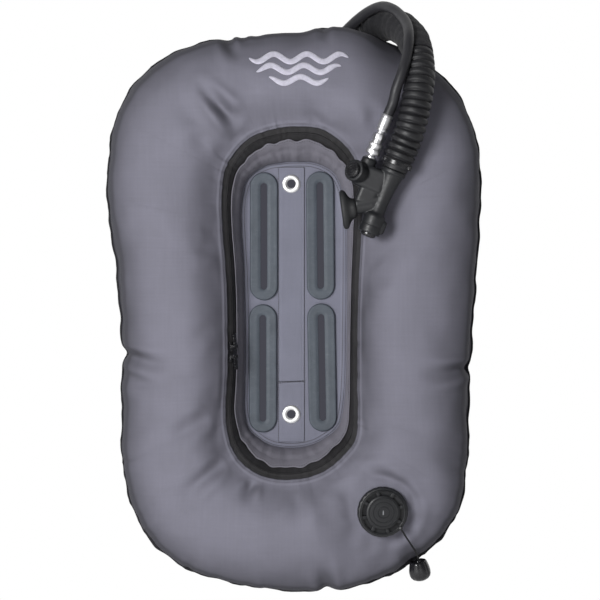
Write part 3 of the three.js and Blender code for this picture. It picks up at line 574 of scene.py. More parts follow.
MATERIALS = {
    "shell": woven("shell_weave", srgb(126, 125, 138), slubs=0.03, painted_slope_shade=0.7),
    "panel": woven("panel_weave", srgb(126, 127, 142), slubs=0.03),
    # the gusset is the shell's fabric a little darker: painted shade for the recessed wall
    "gusset": woven("gusset_weave", srgb(122, 120, 130), slubs=0.04),
    "binding": woven("binding_tape", srgb(38, 38, 42), pitch=0.8 * MM, roughness=0.85),
    "zip": woven("zip_tape", srgb(42, 41, 43), 0.7 * MM, 0.1 * MM, roughness=0.6, patchy=0.4),
    "bladder": moulding("bladder_film", srgb(150, 155, 160), 0.35),
    # a light grey that paints the highlight on the dump cap's centre
    "pad": moulding("pad_rubber", srgb(77, 84, 93), 0.6, 0.05 * MM),
    "pin": moulding("painted_highlight_pin", srgb(132, 134, 138), 0.5),
    "plastic": moulding("black_moulding", srgb(31, 32, 35), 0.45),
    "gloss": moulding("gloss_moulding", srgb(27, 27, 30), 0.26, 0.012 * MM, 0.3),
    "hose": moulding("hose_rubber", srgb(31, 31, 34), 0.5, 0.02 * MM),
    "lp_hose": moulding("lp_hose_rubber", srgb(42, 42, 46), 0.46, 0.02 * MM),
    "rubber": moulding("soft_rubber", srgb(31, 32, 34), 0.6),
    "wrap": woven("wrap_tape", srgb(33, 33, 37), pitch=0.8 * MM, roughness=0.85, sheen=0.1),
    "cord": woven("pull_cord", srgb(34, 34, 36), pitch=0.5 * MM, roughness=0.8),
    "steel": polished("stainless_steel", (0.9, 0.9, 0.9, 1), 0.42, 0.4),
    "chrome": polished("chrome_plate", (0.86, 0.86, 0.88, 1), 0.34),
    "thread": thread_like("grey_thread", srgb(96, 96, 108), 0.5 * MM),
    "thread_dark": thread_like("dark_thread", srgb(44, 44, 50), 0.5 * MM),
    "silver": thread_like("silver_thread", srgb(226, 223, 240), 0.75 * MM, 0.3 * MM, 0.5),
}

# ---------------------------------------------------------------- the ring's surface


class Ring:
    """The ring's cross-sections at even places round it, clockwise from the top."""

    def __init__(self, columns):
        self.u = np.arange(columns) / columns
        table = catmull_rom(STATIONS, self.u, closed=True)
        self.outer, self.inner = table[:, :2], table[:, 2:4]
        zip_shift, self.hem_shift, self.rim_shift = table[:, 4:].T
        span = self.outer - self.inner
        length = np.linalg.norm(span, axis=1)
        self.outward = span / length[:, None]
        self.radius = (length - SEAM_WIDTH) / 2
        self.centre = self.inner + self.outward * self.radius[:, None]
        bearing = np.arctan2(self.outward[:, 0], self.outward[:, 1])
        turn = 130.6 - 10.4 * np.cos(2 * bearing) - 3.25 * np.cos(bearing) + 5 * np.sin(bearing)
        self.zip = self.gone_on(np.radians(turn), zip_shift)
        self.wall = PI - np.arcsin(3.3 * MM / HALF_DEPTH)  # where the gusset meets the centre panel
        run = run_of(np.vstack([self.outer, self.outer[:1]]))
        self.run, self.total = run[:-1], run[-1]  # distance along the outer seam, and its length
        self.turn = TAU * self.run / self.total

    def at(self, v):
        """Points [u, v] of the surface; v is 0 at the outer seam and 90 degrees at the front."""
        v = np.broadcast_to(v, (len(self.u), np.shape(v)[-1]))
        across = self.radius[:, None] * np.cos(v)
        plane = self.centre[:, None] + self.outward[:, None] * across[..., None]
        return in_space(plane, MID_PLANE - HALF_DEPTH * np.sin(v))

    def normal(self, v):
        v = np.broadcast_to(v, (len(self.u), np.shape(v)[-1]))
        across = np.cos(v) / self.radius[:, None]
        plane = self.outward[:, None] * across[..., None]
        return unit(in_space(plane, -np.sin(v) / HALF_DEPTH))

    def gone_on(self, v, distance):
        """The angle reached after a distance over the surface towards the inner seam."""
        return v + distance / np.hypot(self.radius * np.sin(v), HALF_DEPTH * np.cos(v))

    def line(self, angle, raised):
        """A raised line round the ring at an angle for each section, and its normals."""
        normal = self.normal(angle[:, None])[:, 0]
        return self.at(angle[:, None])[:, 0] + normal * np.reshape(raised, (-1, 1)), normal

    def wave(self, turns, phase=0.0):
        return np.sin(TAU * turns * self.u + phase)

    def low_rim(self):
        """1 along the bottom of the ring, where the seam allowance stands out furthest."""
        return smooth_step((-self.outer[:, 1] - 250 * MM) / (60 * MM))


# Gathers that the outer seam's thread pulls in: place round the seam, width, reach, height, slant.
GATHERS = 230
gather_place = (np.arange(GATHERS) + CHANCE.uniform(-0.42, 0.42, GATHERS)) / GATHERS
gather_width = CHANCE.uniform(2.6, 5.6, GATHERS) * MM
gather_reach = CHANCE.uniform(9, 30, GATHERS) * MM
gather_height = CHANCE.uniform(-1.5, 1.0, GATHERS) * MM
gather_slant = CHANCE.uniform(-0.35, 0.35, GATHERS)
LOW_SIDE = np.abs(gather_place - 0.5) < 0.17  # the bottom edge is gathered most
gather_height *= 0.75 + 0.75 * LOW_SIDE
gather_reach *= 0.9 + 0.5 * LOW_SIDE


def gathers(ring, distance):
    """Height of the seam gathers at distances [u, v] from the outer seam."""
    run, total = ring.run[:, None], ring.total
    height = np.zeros(np.broadcast(run, distance).shape)
    table = zip(gather_place, gather_width, gather_reach, gather_height, gather_slant)
    for place, width, reach, size, slant in table:
        off = (run - place * total + slant * distance + total / 2) % total - total / 2
        wider = width * (1 + distance / (2 * reach))
        height += size * bump_at(off, wider) * np.exp(-distance / reach)
    return height


def seam_gathers(ring):
    return gathers(ring, np.zeros((len(ring.u), 1)))[:, 0]


def drawn_in(ring):
    """How far the outer seam is drawn in at its notches and between them."""
    pull = np.zeros(len(ring.u))
    for x, z, depth, width in SEAM_NOTCHES:
        pull += depth * bump_at(np.hypot(ring.outer[:, 0] - x, ring.outer[:, 1] - z), width)
    wander = 0.7 * MM * np.sin(31 * ring.turn + 1.3) + 0.5 * MM * np.sin(57 * ring.turn)
    return pull + wander + 0.35 * seam_gathers(ring) - ring.rim_shift


def edge_wave(ring):
    """How far the seam allowance leans to the front or back."""
    wave = 0.9 * MM * np.sin(23 * ring.turn) * np.sin(5 * ring.turn + 0.6)
    return wave + 0.8 * seam_gathers(ring)


def path_distance(points, path):
    """Distance of x, z points to a polyline, and how far along it the nearest place is, 0 to 1."""
    best, along = np.full(points.shape[:-1], 1e9), np.zeros(points.shape[:-1])
    path = np.asarray(path, float)
    for i, (a, b) in enumerate(zip(path[:-1], path[1:])):
        step = b - a
        t = np.clip(((points - a) @ step) / (step @ step), 0, 1)
        distance = np.linalg.norm(points - a - t[..., None] * step, axis=-1)
        nearer = distance < best
        best = np.where(nearer, distance, best)
        along = np.where(nearer, (i + t) / (len(path) - 1), along)
    return best, along


def creases(points):
    """Height of the front's creases: grooves with soft lips, fading out at their ends."""
    plane = points[..., [0, 2]] / MM
    height = np.zeros(plane.shape[:-1])
    for k, (path, depth, width) in enumerate(CREASES):
        distance, along = path_distance(plane, catmull_rom(path, np.linspace(0, 1, 16)))
        fade = smooth_step(1.0 - np.abs(along - 0.45) / 0.62)
        width = width * (0.8 + 0.5 * along)
        groove = -bump_at(distance, width * (1 + 0.12 * np.sin(along * 9 + k)))
        height += depth * MM * fade * (groove + 0.45 * bump_at(distance - 1.9 * width, 0.9 * width))
    return height


def fitting_hold(points):
    """0 under a fitting's flange, rising to 1 away from it."""
    held = np.ones(points.shape[:-1])
    for at, radius in ((DUMP_AT, 31 * MM), (PORT_AT, 24 * MM)):
        held *= smooth_step((np.linalg.norm(points - at, axis=-1) - radius) / (16 * MM))
    return held


def fitting_ripples(points):
    """Tension rings and spokes that the dump valve's flange pulls into the cloth."""
    offset = points - DUMP_AT
    distance = np.linalg.norm(offset, axis=-1)
    angle = np.arctan2(offset[..., 2], offset[..., 0])
    right = smooth_step(0.5 + 0.7 * np.cos(angle - 0.3))
    groove, lip = bump_at(distance - 41 * MM, 5 * MM), bump_at(distance - 51 * MM, 6 * MM)
    spokes = 0.5 * MM * np.sin(11 * angle + 1.0) * bump_at(distance - 44 * MM, 12 * MM)
    return -2.6 * MM * right * groove + 1.1 * MM * right * lip + spokes


def soft_noise(points, scale, seed):
    """Smooth noise at each point."""
    made = [noise.noise(Vector((x + seed, y, z))) for x, y, z in points.reshape(-1, 3) / scale]
    return np.array(made).reshape(points.shape[:-1])


# ---------------------------------------------------------------- the inflated shell

CLOTH_SETTINGS = {
    "vertex_group_mass": "held",
    "quality": 5,
    "mass": 0.4,
    "tension_stiffness": 20,
    "compression_stiffness": 20,
    "shear_stiffness": 8,
    "bending_stiffness": 0.4,
    "use_pressure": True,
    "uniform_pressure_force": 4,
    "shrink_min": -0.035,
}
SIM_LIMIT = 7 * MM  # furthest that a point moves
SIM_KEPT = 0.42  # share of the buckling round the ring that a tight ring keeps
BLADDER_INSET, BLADDER_COLUMNS, BLADDER_ROWS = 13 * MM, 120, 25


def inflated_heights():
    """Heights of a coarse grid of the ring, blown up between the seams that hold its cloth."""
    ring = Ring(SIM_COLUMNS)
    angles = np.arange(SIM_ROWS) * TAU / SIM_ROWS
    v = np.broadcast_to(angles, (SIM_COLUMNS, SIM_ROWS))
    start = ring.at(v)
    tube = lofted("inflating_ring", start, "shell", 180)
    band = (v > ring.zip[:, None] - 0.05) & (v < PI + 0.12)
    seam = (v < 0.02) | (v > TAU - 0.02)
    pinned = (band | seam | (fitting_hold(start) < 0.5)).reshape(-1)
    tube.vertex_groups.new(name="held").add(np.flatnonzero(pinned).tolist(), 1.0, "REPLACE")
    cloth = tube.modifiers.new("cloth", "CLOTH")
    for key, value in CLOTH_SETTINGS.items():
        setattr(cloth.settings, key, value)
    cloth.settings.effector_weights.gravity = 0
    cloth.collision_settings.use_collision = False
    scene = bpy.context.scene
    scene.frame_start, scene.frame_end = 1, SIM_FRAMES
    for number in range(1, SIM_FRAMES + 1):
        scene.frame_set(number)
    shown = tube.evaluated_get(bpy.context.evaluated_depsgraph_get())
    settled = np.empty(start.size)
    shown.data.vertices.foreach_get("co", settled)
    offset = settled.reshape(start.shape) - start
    scene.frame_set(1)
    bpy.data.objects.remove(tube)
    length = np.linalg.norm(offset, axis=-1, keepdims=True)
    offset = offset * (SIM_LIMIT * np.tanh(length / SIM_LIMIT) / np.maximum(length, 1e-9))
    heights = np.sum(offset * ring.normal(angles), axis=-1)
    mean = heights.mean(axis=0)
    blur = sum(np.roll(heights, k, axis=0) * (3 - abs(k)) for k in range(-2, 3)) / 9
    return mean + SIM_KEPT * (blur - mean)


SIM_HEIGHTS = inflated_heights()


def simulated(u, v):
    """The simulated height at places [u, v], read off the coarse grid smoothly."""
    columns = catmull_rom(SIM_HEIGHTS, u, closed=True)[..., None]
    places = (v / TAU) % 1.0
    rows = [catmull_rom(column, at, closed=True)[:, 0] for column, at in zip(columns, places)]
    return np.array(rows)


def seam_distance(base):
    """Distance over the cloth from the first row of each section."""
    step = np.linalg.norm(np.diff(base, axis=1), axis=2)
    return np.concatenate([np.zeros((len(base), 1)), np.cumsum(step, axis=1)], axis=1)


def ring_mesh(name, columns, angles, material, lift, roll=None):
    """A cloth ring from a grid of angles. Its UV map, in metres, is laid flat to run true."""
    ring = Ring(columns)
    v = angles(ring)
    base = ring.at(v)
    across = seam_distance(base)
    points = base + ring.normal(v) * lift(ring, v, base, across)[..., None]
    if roll:
        points = roll(ring, points, across)
    crown = np.argmin(np.abs(np.abs(np.sin(v)) - 1), axis=1)
    outward_by = across[np.arange(columns), crown][:, None] - across
    laid = ring.centre[:, None] + ring.outward[:, None] * outward_by[..., None]
    return lofted(name, points, material, 60, laid, tube=False)


def delete_near(obj, place, radius):
    """Opens a round hole where a fitting passes through."""
    at, axis = np.array(place)[:3, 3], np.array(place)[:3, 2]

    def change(b):
        doomed = []
        for face in b.faces:
            offset = np.array(face.calc_center_median()) - at
            along = float(offset @ axis)
            if abs(along) < 20 * MM and np.linalg.norm(offset - along * axis) < radius:
                doomed.append(face)
        bmesh.ops.delete(b, geom=doomed, context="FACES")

    return edit_mesh(obj, change)


SHELL_SCALE = 1
FRONT_COLUMNS, FRONT_ROWS, BACK_COLUMNS, BACK_ROWS, GUSSET_COLUMNS = (
    int(count * SHELL_SCALE) for count in (880, 72, 704, 84, 528)
)
SEAM_ANGLE = 0.035  # where the cloth leaves the outer seam
FITTING_HOLE = 15.5 * MM
DUMP = place_of(DUMP_AT, (0.10996, -0.98610, -0.12460))
PORT = place_of(PORT_AT, (0.04228, 0.98077, 0.19052))
PORT_OUT = np.array(PORT)[:3, 2]


def eased(count):
    """Places 0 to 1, closer together near both ends."""
    t = np.linspace(0, 1, count)
    return t - 0.4 * np.sin(TAU * t) / TAU


def front_angles(ring):
    return SEAM_ANGLE + (ring.zip - SEAM_ANGLE)[:, None] * eased(FRONT_ROWS)


def back_angles(ring):
    angles = TAU - SEAM_ANGLE - (ring.wall - SEAM_ANGLE) * eased(BACK_ROWS)
    return np.tile(angles, (len(ring.u), 1))


def hem_lift(distance):
    """A folded hem: one more layer, with a stitch line sunk into it."""
    fold = 0.75 * MM * smooth_step((HEM - distance) / (1.2 * MM))
    stitched = -0.55 * MM * bump_at(distance - 3.2 * MM, 0.9 * MM)
    return fold + stitched - 0.9 * MM * smooth_step((0.9 * MM - distance) / (0.9 * MM))


ZIP_PUCKERS = 150
pucker_place = (np.arange(ZIP_PUCKERS) + CHANCE.uniform(-0.4, 0.4, ZIP_PUCKERS)) / ZIP_PUCKERS
pucker_height = CHANCE.uniform(-0.9, 0.7, ZIP_PUCKERS) * MM
pucker_reach = CHANCE.uniform(6, 17, ZIP_PUCKERS) * MM


def zip_puckers(u, distance):
    """Small puckers along the zip's stitching."""
    height = np.zeros(distance.shape)
    for place, size, reach in zip(pucker_place, pucker_height, pucker_reach):
        off = ((u - place + 0.5) % 1.0 - 0.5)[:, None] * 900 * MM
        height += size * bump_at(off, 2.6 * MM) * np.exp(-distance / reach)
    return height


def fullness(ring, base, from_seam, from_zip):
    """How much prouder the blown-up front stands between its seams, away from what lies on it."""
    plane = base[..., [0, 2]] / MM
    inflator, cord = (path_distance(plane, line)[0] for line in (INFLATOR_LINE, CORD_LINE))
    dump = np.linalg.norm(plane - DUMP_AT[[0, 2]] / MM, axis=-1)
    free = smooth_step((inflator - 14) / 60) * smooth_step((dump - 27) / 60)
    free = free * (0.3 + 0.7 * smooth_step(cord / 20))
    prouder = 8.5 * MM + 4.5 * MM * (np.abs(ring.outward[:, 1]) ** 3)[:, None]
    away = smooth_step(from_zip / (54 * MM)) * smooth_step(from_seam / (34 * MM))
    return prouder * away * free


def front_lift(ring, v, base, from_seam):
    from_zip = from_seam[:, -1:] - from_seam
    fitted = fitting_hold(base)
    held = smooth_step(from_zip / (16 * MM)) * smooth_step(from_seam / (8 * MM)) * fitted
    height = simulated(ring.u, v) * held + fullness(ring, base, from_seam, from_zip)
    height += gathers(ring, from_seam) * smooth_step(from_seam / (3 * MM)) * fitted
    height += creases(base) * np.minimum(1, 0.25 + smooth_step(from_zip / (10 * MM))) * fitted
    height += fitting_ripples(base) + zip_puckers(ring.u, from_zip)
    height += 0.4 * MM * soft_noise(base, 34 * MM, 3.0) * held
    return height + hem_lift(from_zip)


def back_lift(ring, v, base, from_seam):
    from_panel = from_seam[:, -1:] - from_seam
    held = smooth_step(from_panel / (20 * MM)) * smooth_step(from_seam / (8 * MM))
    held = held * fitting_hold(base)
    height = simulated(ring.u, v) * held
    height += gathers(ring, from_seam) * smooth_step(from_seam / (3 * MM))
    height += zip_puckers(ring.u, from_panel) * 1.6
    return height + 1.3 * MM * soft_noise(base, 40 * MM, 9.0) * held


def rim_rolled(ring, points, from_seam):
    """Draws the seam edge in at its notches, and leans it as the allowance waves."""
    inward = drawn_in(ring) - 2.2 * MM * (1 - ring.low_rim())
    inward = inward[:, None] * np.exp(-from_seam / (22 * MM))
    rolled = points.copy()
    rolled[..., [0, 2]] -= ring.outward[:, None] * inward[..., None]
    rolled[..., 1] += edge_wave(ring)[:, None] * np.exp(-from_seam / (6 * MM))
    return rolled


def make_shell():
    sides = (
        ("front", FRONT_COLUMNS, front_angles, front_lift, DUMP),
        ("back", BACK_COLUMNS, back_angles, back_lift, PORT),
    )
    for side, columns, angles, lift, fitting in sides:
        cloth = ring_mesh(f"shell_{side}_cloth", columns, angles, "shell", lift, roll=rim_rolled)
        solid_cloth(delete_near(cloth, fitting, FITTING_HOLE), SHELL_CLOTH)
        piece(cloth, "shell_fabric", f"shell_{side}")

    film = ring_mesh(
        "bladder_film",
        BLADDER_COLUMNS,
        lambda ring: np.tile(np.linspace(0, TAU, BLADDER_ROWS), (BLADDER_COLUMNS, 1)),
        "bladder",
        lambda ring, v, base, across: np.full(v.shape, -BLADDER_INSET),
    )
    piece(film, "bladder_film", "bladder")


def make_binding():
    """The seam allowance wrapped in tape, ruffled by the seam."""
    ring = Ring(FRONT_COLUMNS)
    wave, pull, low_edge = edge_wave(ring), drawn_in(ring), ring.low_rim()
    lean = 1.6 * MM * low_edge * np.sin(TAU * 41 * ring.u + 2 * ring.wave(7))
    profile = [(-0.6, 1.5), (0.8, 1.9), (2.4, 1.7), (3.9, 1.3), (4.7, 0.5)]
    profile += [(out, -depth) for out, depth in reversed(profile)]
    rings = []
    for out, depth in profile:
        reach = np.clip(out / 4.7, 0, 1)
        away = ring.radius + out * MM * (0.52 + 0.48 * low_edge)
        away = away + 2.2 * MM * (1 - low_edge) - pull
        plane = ring.centre + ring.outward * away[:, None]
        y = MID_PLANE + depth * MM + wave * (0.9 + 0.5 * reach) - lean * reach
        rings.append(in_space(plane, y))
    uv = pairs(ring.run[:, None], np.linspace(0, 14 * MM, len(profile)))
    tape = lofted("edge_binding_tape", np.stack(rings, axis=1), "binding", 80, uv)
    piece(tape, "binding_tape", "edge_binding")


STITCH_SIDES = 6
STITCH = [  # place along the stitch, share of its thickness, rise from the cloth
    (-1.0, 0.25, -0.5), (-0.8, 0.8, 0.15), (-0.3, 1.0, 0.55),
    (0.3, 1.0, 0.55), (0.8, 0.8, 0.15), (1.0, 0.25, -0.5),
]


def stitches(name, path, normals, material, closed, size=(3.2, 2.3, 0.3)):
    """A row of stitches on a path: short rods of thread that dip into the cloth at both ends."""
    pitch, length, radius = np.array(size) * MM
    if closed:
        path, normals = np.vstack([path, path[:1]]), np.vstack([normals, normals[:1]])
    run = run_of(path)
    count = max(1, int(run[-1] / pitch))
    spots = (np.arange(count) + 0.5) * run[-1] / count + CHANCE.uniform(-0.12, 0.12, count) * MM
    middle, ahead = (read_off(spots + by, run, path) for by in (0, 0.4 * MM))
    up = unit(read_off(spots, run, normals))
    along = unit(ahead - middle + 1e-9)
    side = np.cross(up, along)
    place, fat, rise = np.transpose(STITCH)
    turn = TAU * np.arange(STITCH_SIDES) / STITCH_SIDES
    centre = middle[:, None] + along[:, None] * (place * length / 2)[:, None]
    centre = centre + up[:, None] * (rise * radius)[:, None]
    spokes = np.cos(turn)[:, None] * side[:, None] + np.sin(turn)[:, None] * up[:, None]
    vertices = centre[:, :, None] + (fat * radius)[:, None, None] * spokes[:, None]
    uv = pairs((spots[:, None] + place * length / 2)[..., None], turn * radius)
    last = (len(STITCH) - 1) * STITCH_SIDES
    rod = grid_faces(len(STITCH), STITCH_SIDES, close_columns=True)
    end = last + STITCH_SIDES
    rod += [tuple(range(STITCH_SIDES)), tuple(reversed(range(last, end)))]
    faces = [tuple(k * end + i for i in face) for k in range(count) for face in rod]
    return piece(mesh_object(name, vertices, faces, material, 60, uv), "shell_fabric")


ZIP_ROWS = {  # distance over the cloth from the zip's line, and height
    "outer": [(-5, -1.7), (-2.5, -1.6), (-0.4, -1.5), (0.8, -0.9), (2.2, -0.5), (3.9, -0.45),
              (4.9, -0.1), (5.9, 0.35), (6.8, 0.3), (7.15, -0.2), (7.2, -1.0)],
    "inner": [(7.4, -1.0), (7.45, -0.2), (7.8, 0.3), (8.7, 0.35), (9.7, -0.1), (10.7, -0.45),
              (12.4, -0.5), (13.8, -0.6), (16.0, -0.9), (19.0, -1.4), (22.0, -1.8), (25.0, -2.2)],
}


def make_zip():
    ring = Ring(440)
    ripple = 0.4 * MM * ring.wave(84) * ring.wave(13)
    for side, profile in ZIP_ROWS.items():
        lines = []
        for distance, raised in profile:
            angle = ring.gone_on(ring.zip, distance * MM)
            share = 1 if 0 < distance < ZIP_BAND / MM else 0.4
            lines.append(ring.line(angle, raised * MM + share * ripple)[0])
        across = np.array(profile)[:, 0] * MM
        uv = pairs(ring.run[:, None] * 0.48, across)  # the zip is about half as long as the seam
        tape = lofted(f"zip_{side}_half", np.stack(lines, axis=1), "zip", 50, uv, tube=False)
        piece(solid_cloth(tape, ZIP_CLOTH), "zip_tape", f"zip_tape_{side}", f"zip_coil_{side}")


def gusset_edge(ring):
    """How far past the zip's line the gusset's hem starts; it ripples at the top and bottom."""
    ripple = (1.5 * ring.wave(26, 0.8) + 0.9 * ring.wave(43)) * np.abs(ring.outward[:, 1]) ** 2
    return ZIP_BAND - 0.6 * MM + ring.hem_shift + ripple * MM


def gusset_angles(ring):
    low = ring.gone_on(ring.zip, gusset_edge(ring))
    return low[:, None] + (ring.wall - low)[:, None] * np.linspace(0, 1, 26)


def gusset_lift(ring, _v, base, from_zip):
    whole = from_zip[:, -1:]
    middle = np.sin(PI * from_zip / whole)
    tall = smooth_step((whole - 12 * MM) / (30 * MM))
    wave = ring.wave(17, 1.1) + 0.7 * ring.wave(29, 0.3) + 0.5 * ring.wave(53)
    fold = 0.5 * MM * wave[:, None] * middle * (0.5 + 0.6 * tall)
    tuck = -1.0 * MM * bump_at(from_zip - 0.32 * whole, 4.5 * MM) * tall
    fine = 0.3 * MM * soft_noise(base * (1, 0.4, 1), 9 * MM, 5.0) * middle
    hem = 0.55 * MM * smooth_step((5.5 * MM - from_zip) / (1 * MM))
    stitched = -0.5 * MM * bump_at(from_zip - 2.6 * MM, 0.8 * MM)
    return fold + tuck + fine + hem + stitched


def make_gusset():
    cloth = ring_mesh("inner_gusset_cloth", GUSSET_COLUMNS, gusset_angles, "gusset", gusset_lift)
    piece(solid_cloth(cloth, GUSSET_CLOTH), "gusset_fabric", "inner_gusset")


def make_ring_stitching():
    ring = Ring(720)
    rows = (
        ("zip_hem_stitching", -3.2 * MM, 0.35 * MM, "thread"),
        ("gusset_hem_stitching", gusset_edge(ring) + 2.6 * MM, 0.2 * MM, "thread_dark"),
    )
    for name, distance, raised, thread in rows:
        line, normal = ring.line(ring.gone_on(ring.zip, distance), raised)
        stitches(name, line, normal, thread, True)


make_shell()
make_binding()
make_zip()
make_gusset()
make_ring_stitching()

# ---------------------------------------------------------------- centre panel

# A pad's section: distance out from the slot's edge, and share of its height.
PAD_SECTION = np.transpose(
    [(-0.4, 0.0), (-0.4, 0.62), (-0.1, 0.7), (0.6, 0.76), (1.6, 0.85), (2.6, 0.93), (3.6, 0.97),
     (5.0, 0.97), (7.0, 0.96), (9.0, 0.97), (10.4, 1.0), (11.3, 0.98), (11.9, 0.88), (12.35, 0.7),
     (12.65, 0.42), (12.7, 0.0)]
)
PAD_COLUMNS = 150
SLOT_HALF_WIDTH, SLOT_HALF_LENGTH = 4.3, 65
PAD_SIDES = (("front", PANEL_FRONT, -1, 4.0), ("back", PANEL_BACK, 1, 2.5))
HOLE_RADIUS = 7.6  # room that cloth leaves round a slot or an eyelet
PANEL_MARGIN = 1.2  # how far the panel runs past the inner seam
HEM_STITCHES = (2.6, 6.2)  # distances of the panel hem's two stitch lines from its edge
STRIP_SEAM = -100  # height of the seam between the strip and its tail


def make_pad(name, slot, face, away, height):
    """A moulded pad round a slot: rounded rim, shallow dish, and a step down to the slot."""
    x, z, tilt = slot
    straight = 2 * (SLOT_HALF_LENGTH - SLOT_HALF_WIDTH)
    arc = PI * SLOT_HALF_WIDTH * 2.6  # gives the ends the share of points that the outer edge needs
    t = np.arange(PAD_COLUMNS) / PAD_COLUMNS
    run = (t * 2 * (straight + arc)) % (straight + arc)
    side = np.where(t < 0.5, 1, -1)[:, None]
    angle = PI * np.maximum(run - straight, 0) / arc
    outs = side * pairs(np.cos(angle), np.sin(angle))
    cores = side * pairs(0, np.minimum(run, straight) - straight / 2)
    c, s = math.cos(math.radians(tilt)), math.sin(math.radians(tilt))
    turn = np.array([(c, s), (-s, c)])
    out, rise = PAD_SECTION
    plane = (cores @ turn + (x, z))[:, None]
    plane = plane + (outs @ turn)[:, None] * (SLOT_HALF_WIDTH + out)[:, None]
    return lofted(name, in_space(plane, face / MM + away * (0.3 + rise * height)) * MM, "pad", 50)


def sewn_sheet(name, node, points, away, ring, thickness, is_open):
    """A panel cloth from a grid of points, with holes where is_open(x, z), in millimetres."""
    flat = points.reshape(-1, 3)
    faces = []
    for quad in grid_faces(*points.shape[:2], close_rows=ring):
        if not is_open(*flat[list(quad)][:, [0, 2]].mean(axis=0) / MM):
            faces.append(quad)
    sheet = mesh_object(name, flat, faces, "panel", 60, flat[:, [0, 2]])
    piece(solid_cloth(point_faces_out(sheet, away), thickness), "panel_fabric", node)


def panel_open(x, z):
    """Whether a place on the panel falls in an eyelet or a slot."""
    hole = any(math.hypot(x, z - h) < HOLE_RADIUS for h in EYELET_HEIGHTS.values())
    for slot_x, slot_z, tilt in SLOTS.values():
        dx = x - slot_x + math.radians(tilt) * (z - slot_z)
        dz = max(0.0, abs(z - slot_z) - SLOT_HALF_LENGTH + SLOT_HALF_WIDTH)
        hole = hole or math.hypot(dx, dz) < HOLE_RADIUS
    return hole


def panel_sheet(name, node, face, away):
    """One side of the panel, hemmed round its edge, open at the slots and eyelets."""
    ring = Ring(264)
    spine = pairs(0, np.clip(ring.inner[:, 1], -112 * MM, 108 * MM))
    edge = ring.inner + ring.outward * PANEL_MARGIN * MM
    near = np.array((0, 0.6, 1.4, 2.4, 3.2, 4.0, 5.0, 6.0, 7.4, 8.2, 9.0, 10.0)) * MM
    reach = np.linalg.norm(edge - spine, axis=1)[:, None]
    far = np.broadcast_to(np.linspace(0.2, 1, 34), (len(reach), 34))
    share = np.maximum.accumulate(np.concatenate([near / reach, far], axis=1), axis=1)
    plane = edge[:, None] + (spine - edge)[:, None] * share[..., None]
    inset = share * reach
    lift = 1.0 * MM * smooth_step((8.4 * MM - inset) / (1.4 * MM))
    for line in HEM_STITCHES:
        lift -= 0.45 * MM * bump_at(inset - line * MM, 0.7 * MM)
    lift -= 1.2 * MM * smooth_step((0.9 * MM - inset) / (0.9 * MM))
    points = in_space(plane, 0)
    lift += 0.35 * MM * soft_noise(points, 24 * MM, 12.0 * away)
    points[..., 1] = face + away * (0.02 * MM + lift)
    sewn_sheet(name, node, points, away, True, PANEL_CLOTH, panel_open)


def strap(name, node, half_width, low, high, face, away, hole=None):
    """A flat sewn strip with softly raised edges, pressed down along its stitching."""
    edges = np.array([0, 0.015, 0.05, 0.1, 0.14, 0.2])
    xs = np.concatenate([edges - 1, np.linspace(-0.7, 0.7, 15), (1 - edges)[::-1]]) * half_width
    ends = np.array([0, 0.6, 1.6, 2.4, 3.4])
    middle = np.linspace(5, high - low - 5, int((high - low) / 3))
    zs = np.concatenate([ends, middle, high - low - ends[::-1]]) + low
    x, z = np.meshgrid(xs * MM, zs * MM, indexing="ij")
    inset = np.minimum(half_width * MM - np.abs(x), np.minimum(z - low * MM, high * MM - z))
    height = 0.9 * MM - 0.7 * MM * smooth_step((0.7 * MM - inset) / (0.7 * MM))
    height -= 0.35 * MM * bump_at(inset - 2.2 * MM, 0.8 * MM)
    points = in_space(pairs(x, z), 0)
    height += 0.28 * MM * soft_noise(points, 18 * MM, 21.0)
    points[..., 1] = face + away * (0.25 * MM + height)

    def is_open(x, z):
        return hole and math.hypot(x, z - hole) <= HOLE_RADIUS

    sewn_sheet(name, node, points, away, False, STRAP_CLOTH, is_open)


def straight_stitches(name, points, y, away, closed=False):
    path = np.array([(x * MM, y, z * MM) for x, z in points])
    normals = np.tile((0.0, away, 0.0), (len(path), 1))
    stitches(name, path, normals, "thread_dark", closed, (2.9, 2.5, 0.36))


def box_of(half_width, low, high):
    return [(-half_width, low), (half_width, low), (half_width, high), (-half_width, high)]


def make_panel():
    panel_sheet("panel_front_sheet", "center_panel_front", PANEL_FRONT, -1)
    panel_sheet("panel_back_sheet", "center_panel_back", PANEL_BACK, 1)
    ring = Ring(520)
    for line in HEM_STITCHES:
        outline = ring.inner / MM - ring.outward * (line - PANEL_MARGIN)
        name = f"panel_hem_stitching_{line:.0f}"
        straight_stitches(name, outline, PANEL_FRONT - 0.75 * MM, -1, closed=True)
    upper, lower = EYELET_HEIGHTS.values()
    strap("strip_upper", "center_strip", 16, STRIP_SEAM + 0.3, 160, PANEL_FRONT, -1, upper)
    strap("strip_lower", "center_strip_tail", 16, -174, STRIP_SEAM - 0.3, PANEL_FRONT, -1, lower)
    strap("strip_rear", "center_strip_back", 15.5, -118, 118, PANEL_BACK, 1)
    front, back = PANEL_FRONT - 0.85 * MM, PANEL_BACK + 0.85 * MM
    # dark thread at the strip's very edge: real stitching that also paints the shadow line along
    # the strip's raised edges
    straight_stitches("strip_stitching", box_of(15.6, -173.2, 159.4), front, -1, closed=True)
    straight_stitches("strip_cross_stitching_upper", [(-15.4, -100.9), (15.4, -98.6)], front, -1)
    straight_stitches("strip_cross_stitching_lower", [(-15.4, -102.0), (15.4, -99.7)], front, -1)
    straight_stitches("rear_strip_stitching", box_of(13.3, -115.8, 115.8), back, 1, closed=True)
    for name, slot in SLOTS.items():
        for side, face, away, height in PAD_SIDES:
            pad = make_pad(f"pad_{side}_{name}", slot, face, away, height)
            piece(pad, "pad_rubber", f"slot_pad_{side}_{name}")


